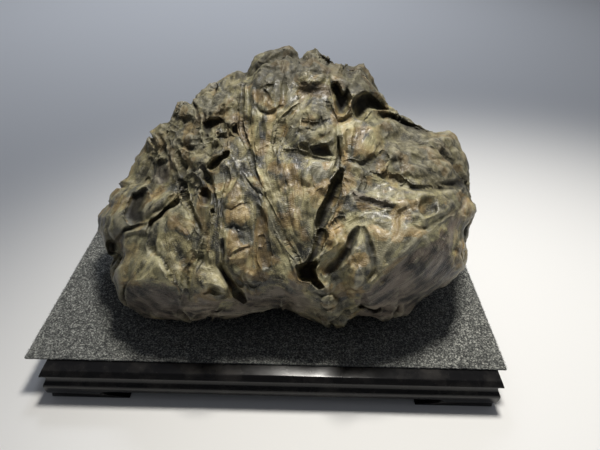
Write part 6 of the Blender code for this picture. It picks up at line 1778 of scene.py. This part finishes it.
def make_fibres(name, count, finish, seed):
    """Loose wool fibres: thin bent ribbons lying in the felt, and a few past its cut edge."""
    draw = np.random.default_rng(seed)
    points = []
    faces = []
    for k in range(count):
        x = draw.uniform(MAT_LOW.x + FIBRE_INSET, MAT_HIGH.x - FIBRE_INSET)
        y = draw.uniform(MAT_LOW.y + FIBRE_INSET, MAT_HIGH.y - FIBRE_INSET)
        if k % FIBRE_EDGE_EVERY == 0:
            side = draw.integers(4)
            x = (MAT_LOW.x, MAT_HIGH.x, x, x)[side]
            y = (y, y, MAT_LOW.y, MAT_HIGH.y)[side]
        heading = draw.uniform(0, 2 * math.pi)
        bend = draw.normal(0, FIBRE_BEND)
        length = draw.uniform(*FIBRE_LENGTH)
        wide = draw.uniform(*FIBRE_HALF_WIDTH)
        lift = draw.uniform(*FIBRE_LIFT)
        first = len(points)
        for step in range(FIBRE_STEPS + 1):
            share = step / FIBRE_STEPS
            z = MAT_HIGH.z - FIBRE_SUNK + lift * math.sin(math.pi * (FIBRE_ARC[0] + FIBRE_ARC[1] * share))
            px = x + length * (share - 0.5) * math.cos(heading)
            py = y + length * (share - 0.5) * math.sin(heading)
            slim = wide * (1.0 - FIBRE_THINNING * abs(2 * share - 1))
            points.append((px - slim * math.sin(heading), py + slim * math.cos(heading), z))
            points.append((px + slim * math.sin(heading), py - slim * math.cos(heading), z))
            heading += bend / FIBRE_STEPS
        for step in range(FIBRE_STEPS):
            a = first + 2 * step
            faces.append((a, a + 1, a + 3, a + 2))
    fibres = add_object(name, points, faces, finish)
    return fibres


def curved(profile, steps):
    """A profile with smooth arcs through its points (Catmull-Rom), `steps` for each stretch."""
    p = np.asarray(profile, float)
    points = [tuple(p[0])]
    for k in range(len(p) - 1):
        before = p[max(k - 1, 0)]
        after = p[min(k + 2, len(p) - 1)]
        for step in range(1, steps + 1):
            t = step / steps
            a = -0.5 * t + t * t - 0.5 * t ** 3
            b = 1 - 2.5 * t * t + 1.5 * t ** 3
            c = 0.5 * t + 2 * t * t - 1.5 * t ** 3
            d = -0.5 * t * t + 0.5 * t ** 3
            points.append(tuple(a * before + b * p[k] + c * p[k + 1] + d * after))
    return points


def finish_wood(piece, arris):
    """Ease the arrises, mark them for the shader, and shade the mouldings smooth."""
    ease = piece.modifiers.new("ease", "BEVEL")
    ease.width = arris
    ease.segments = 2
    ease.limit_method = "ANGLE"
    ease.angle_limit = EASED_FROM
    apply_modifiers(piece)
    shade_smooth(piece)
    mesh = piece.data
    mesh.set_sharp_from_angle(angle=SHARP_FROM)
    form = bmesh.new()
    form.from_mesh(mesh)
    rubbed = np.zeros(len(form.verts))
    for vert in form.verts:
        bends = [edge.calc_face_angle_signed(0.0) for edge in vert.link_edges if edge.is_manifold]
        rubbed[vert.index] = min(1.0, max(bends, default=0.0) / RUBBED_AT)
    form.free()
    put_attribute(mesh, "arris", rubbed)


def make_board(lacquer):
    """The stand's top board with its moulded edge."""
    middle = (BOARD_LOW + BOARD_HIGH) / 2
    half = (BOARD_HIGH - BOARD_LOW) / 2
    rings = []
    for outward, height in BOARD_EDGE:
        half_x = half.x + outward * MM
        half_y = half.y + outward * MM
        corners = [(-half_x, -half_y), (half_x, -half_y), (half_x, half_y), (-half_x, half_y)]
        rings.append([(middle.x + x, middle.y + y, height * MM) for x, y in corners])
    board = add_rings("board", rings, lacquer)
    finish_wood(board, BOARD_ARRIS)
    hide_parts("stand_top")


def make_rail(side, turn, lacquer):
    """One mitred rail with its curved moulding and the low cut-out between its feet."""
    middle = Vector(((BOARD_LOW.x + BOARD_HIGH.x) / 2, (BOARD_LOW.y + BOARD_HIGH.y) / 2, 0.0))
    width = BOARD_HIGH.x - BOARD_LOW.x
    depth = BOARD_HIGH.y - BOARD_LOW.y
    length, reach = (width, depth) if side in ("front", "back") else (depth, width)
    curve = [RAIL_EDGE[0]] + curved(RAIL_EDGE[1:-2], CURVE_STEPS) + RAIL_EDGE[-2:]
    profile = [(o * MM, z * MM) for o, z in curve]
    profile += [(-RAIL_THICKNESS, 0.0), (-RAIL_THICKNESS, RAIL_EDGE[0][1] * MM)]
    ends = [[(s * (length / 2 + o - GAP), -(reach / 2 + o), z) for o, z in profile] for s in (-1, 1)]
    rail = add_rings("moulded_rail_" + side, ends, lacquer)
    cutter = make_cutter(side, length, reach)
    cut = rail.modifiers.new("cut-out", "BOOLEAN")
    cut.operation = "DIFFERENCE"
    cut.object = cutter
    apply_modifiers(rail)
    bpy.data.objects.remove(cutter)
    rail.data.transform(Matrix.Translation(middle) @ Matrix.Rotation(math.radians(turn), 4, "Z"))
    finish_wood(rail, RAIL_ARRIS)
    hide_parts("rail_" + side)


def make_cutter(side, length, reach):
    """The cut-out's shape: round ends that undercut a small toe on each foot."""
    half = length / 2 - FOOT_LENGTH
    radius = (CUT_OUT_HEIGHT - TOE_HEIGHT) / 2
    middle_z = TOE_HEIGHT + radius
    right = [(half + past * MM, height * MM) for past, height in TOE]
    for k in range(BOW_STEPS):
        angle = math.pi * (k / (BOW_STEPS - 1) - 0.5)
        right.append((half - 2 * radius * (1 - math.cos(angle)), middle_z + radius * math.sin(angle)))
    outline = right + [(-x, z) for x, z in reversed(right)]
    front = -(reach / 2 + CUTTER_SPILL)
    back = -(reach / 2 - RAIL_THICKNESS - CUTTER_SPILL)
    rings = [[(x, y, z) for x, z in outline] for y in (front, back)]
    return add_rings("cutter_" + side, rings, None, body=None)


# ---------------------------------------------------------------- stage, light and camera
def make_stage():
    finish, shader, _ = new_shader("pale_floor")
    feed(shader, {"Base Color": (*FLOOR_COLOUR, 1.0), "Roughness": FLOOR_ROUGH})
    corners = [(x * FLOOR_REACH, y * FLOOR_REACH, 0.0) for x, y in ((-1, -1), (1, -1), (1, 1), (-1, 1))]
    floor = add_object("floor", corners, [(0, 1, 2, 3)], finish, body=None)


def make_lamps():
    """Soft lamps overhead: one whose cone falls off to the left, and one for the floor far behind."""
    for name, energy, colour, radius, cone, place, target in LAMPS:
        lamp = bpy.data.lights.new(name, "SPOT")
        lamp.energy = energy
        lamp.color = colour
        lamp.shadow_soft_size = radius
        lamp.spot_size = math.radians(cone)
        lamp.spot_blend = 1.0
        made = bpy.data.objects.new(name, lamp)
        made.location = place
        made.rotation_euler = (Vector(target) - Vector(place)).to_track_quat("-Z", "Y").to_euler()
        bpy.context.scene.collection.objects.link(made)


def make_world():
    """A soft room: light from above and behind, dim from the front and below."""
    world = bpy.data.worlds.new("soft_room")
    world.use_nodes = True
    tree = world.node_tree
    way = signal(tree, "ShaderNodeTexCoord", output="Generated")
    back, up = [signal(tree, "ShaderNodeSeparateXYZ", {0: way}, axis) for axis in ("Y", "Z")]
    strength = between(back * ROOM_LEAN_BACK + up, *ROOM_RANGE, ROOM_FRONT, ROOM_TOP)
    feed(tree.nodes["Background"], {"Color": (*ROOM_COLOUR, 1.0), "Strength": strength})
    bpy.context.scene.world = world


def make_camera():
    """A camera at the eye point, framing the sheet."""
    camera = bpy.data.cameras.new("camera")
    camera.sensor_width = SENSOR_WIDTH
    camera.lens = SENSOR_WIDTH * SHEET_DISTANCE / (2 * SHEET_MIDDLE[0])
    made = bpy.data.objects.new("camera", camera)
    turn = Matrix((RIGHT, UP, -AHEAD)).transposed().to_4x4()
    made.matrix_world = Matrix.Translation(Vector(EYE)) @ turn
    bpy.context.scene.collection.objects.link(made)
    bpy.context.scene.camera = made


def main():
    bpy.context.scene.view_settings.view_transform = "Standard"
    make_camera()
    make_world()
    make_lamps()
    make_stage()
    make_stone()
    felt = make_felt()
    pale = make_fibres("pale_fibres", FIBRE_COUNT, fibre_shader("pale_wool", PALE_WOOL), seed=5)
    dark = make_fibres("dark_fibres", FIBRE_COUNT, fibre_shader("dark_wool", DARK_WOOL), seed=6)
    lacquer = lacquer_shader()
    make_board(lacquer)
    for side, turn in (("front", 0), ("right", 90), ("back", 180), ("left", 270)):
        make_rail(side, turn, lacquer)
    bpy.context.view_layer.update()


main()
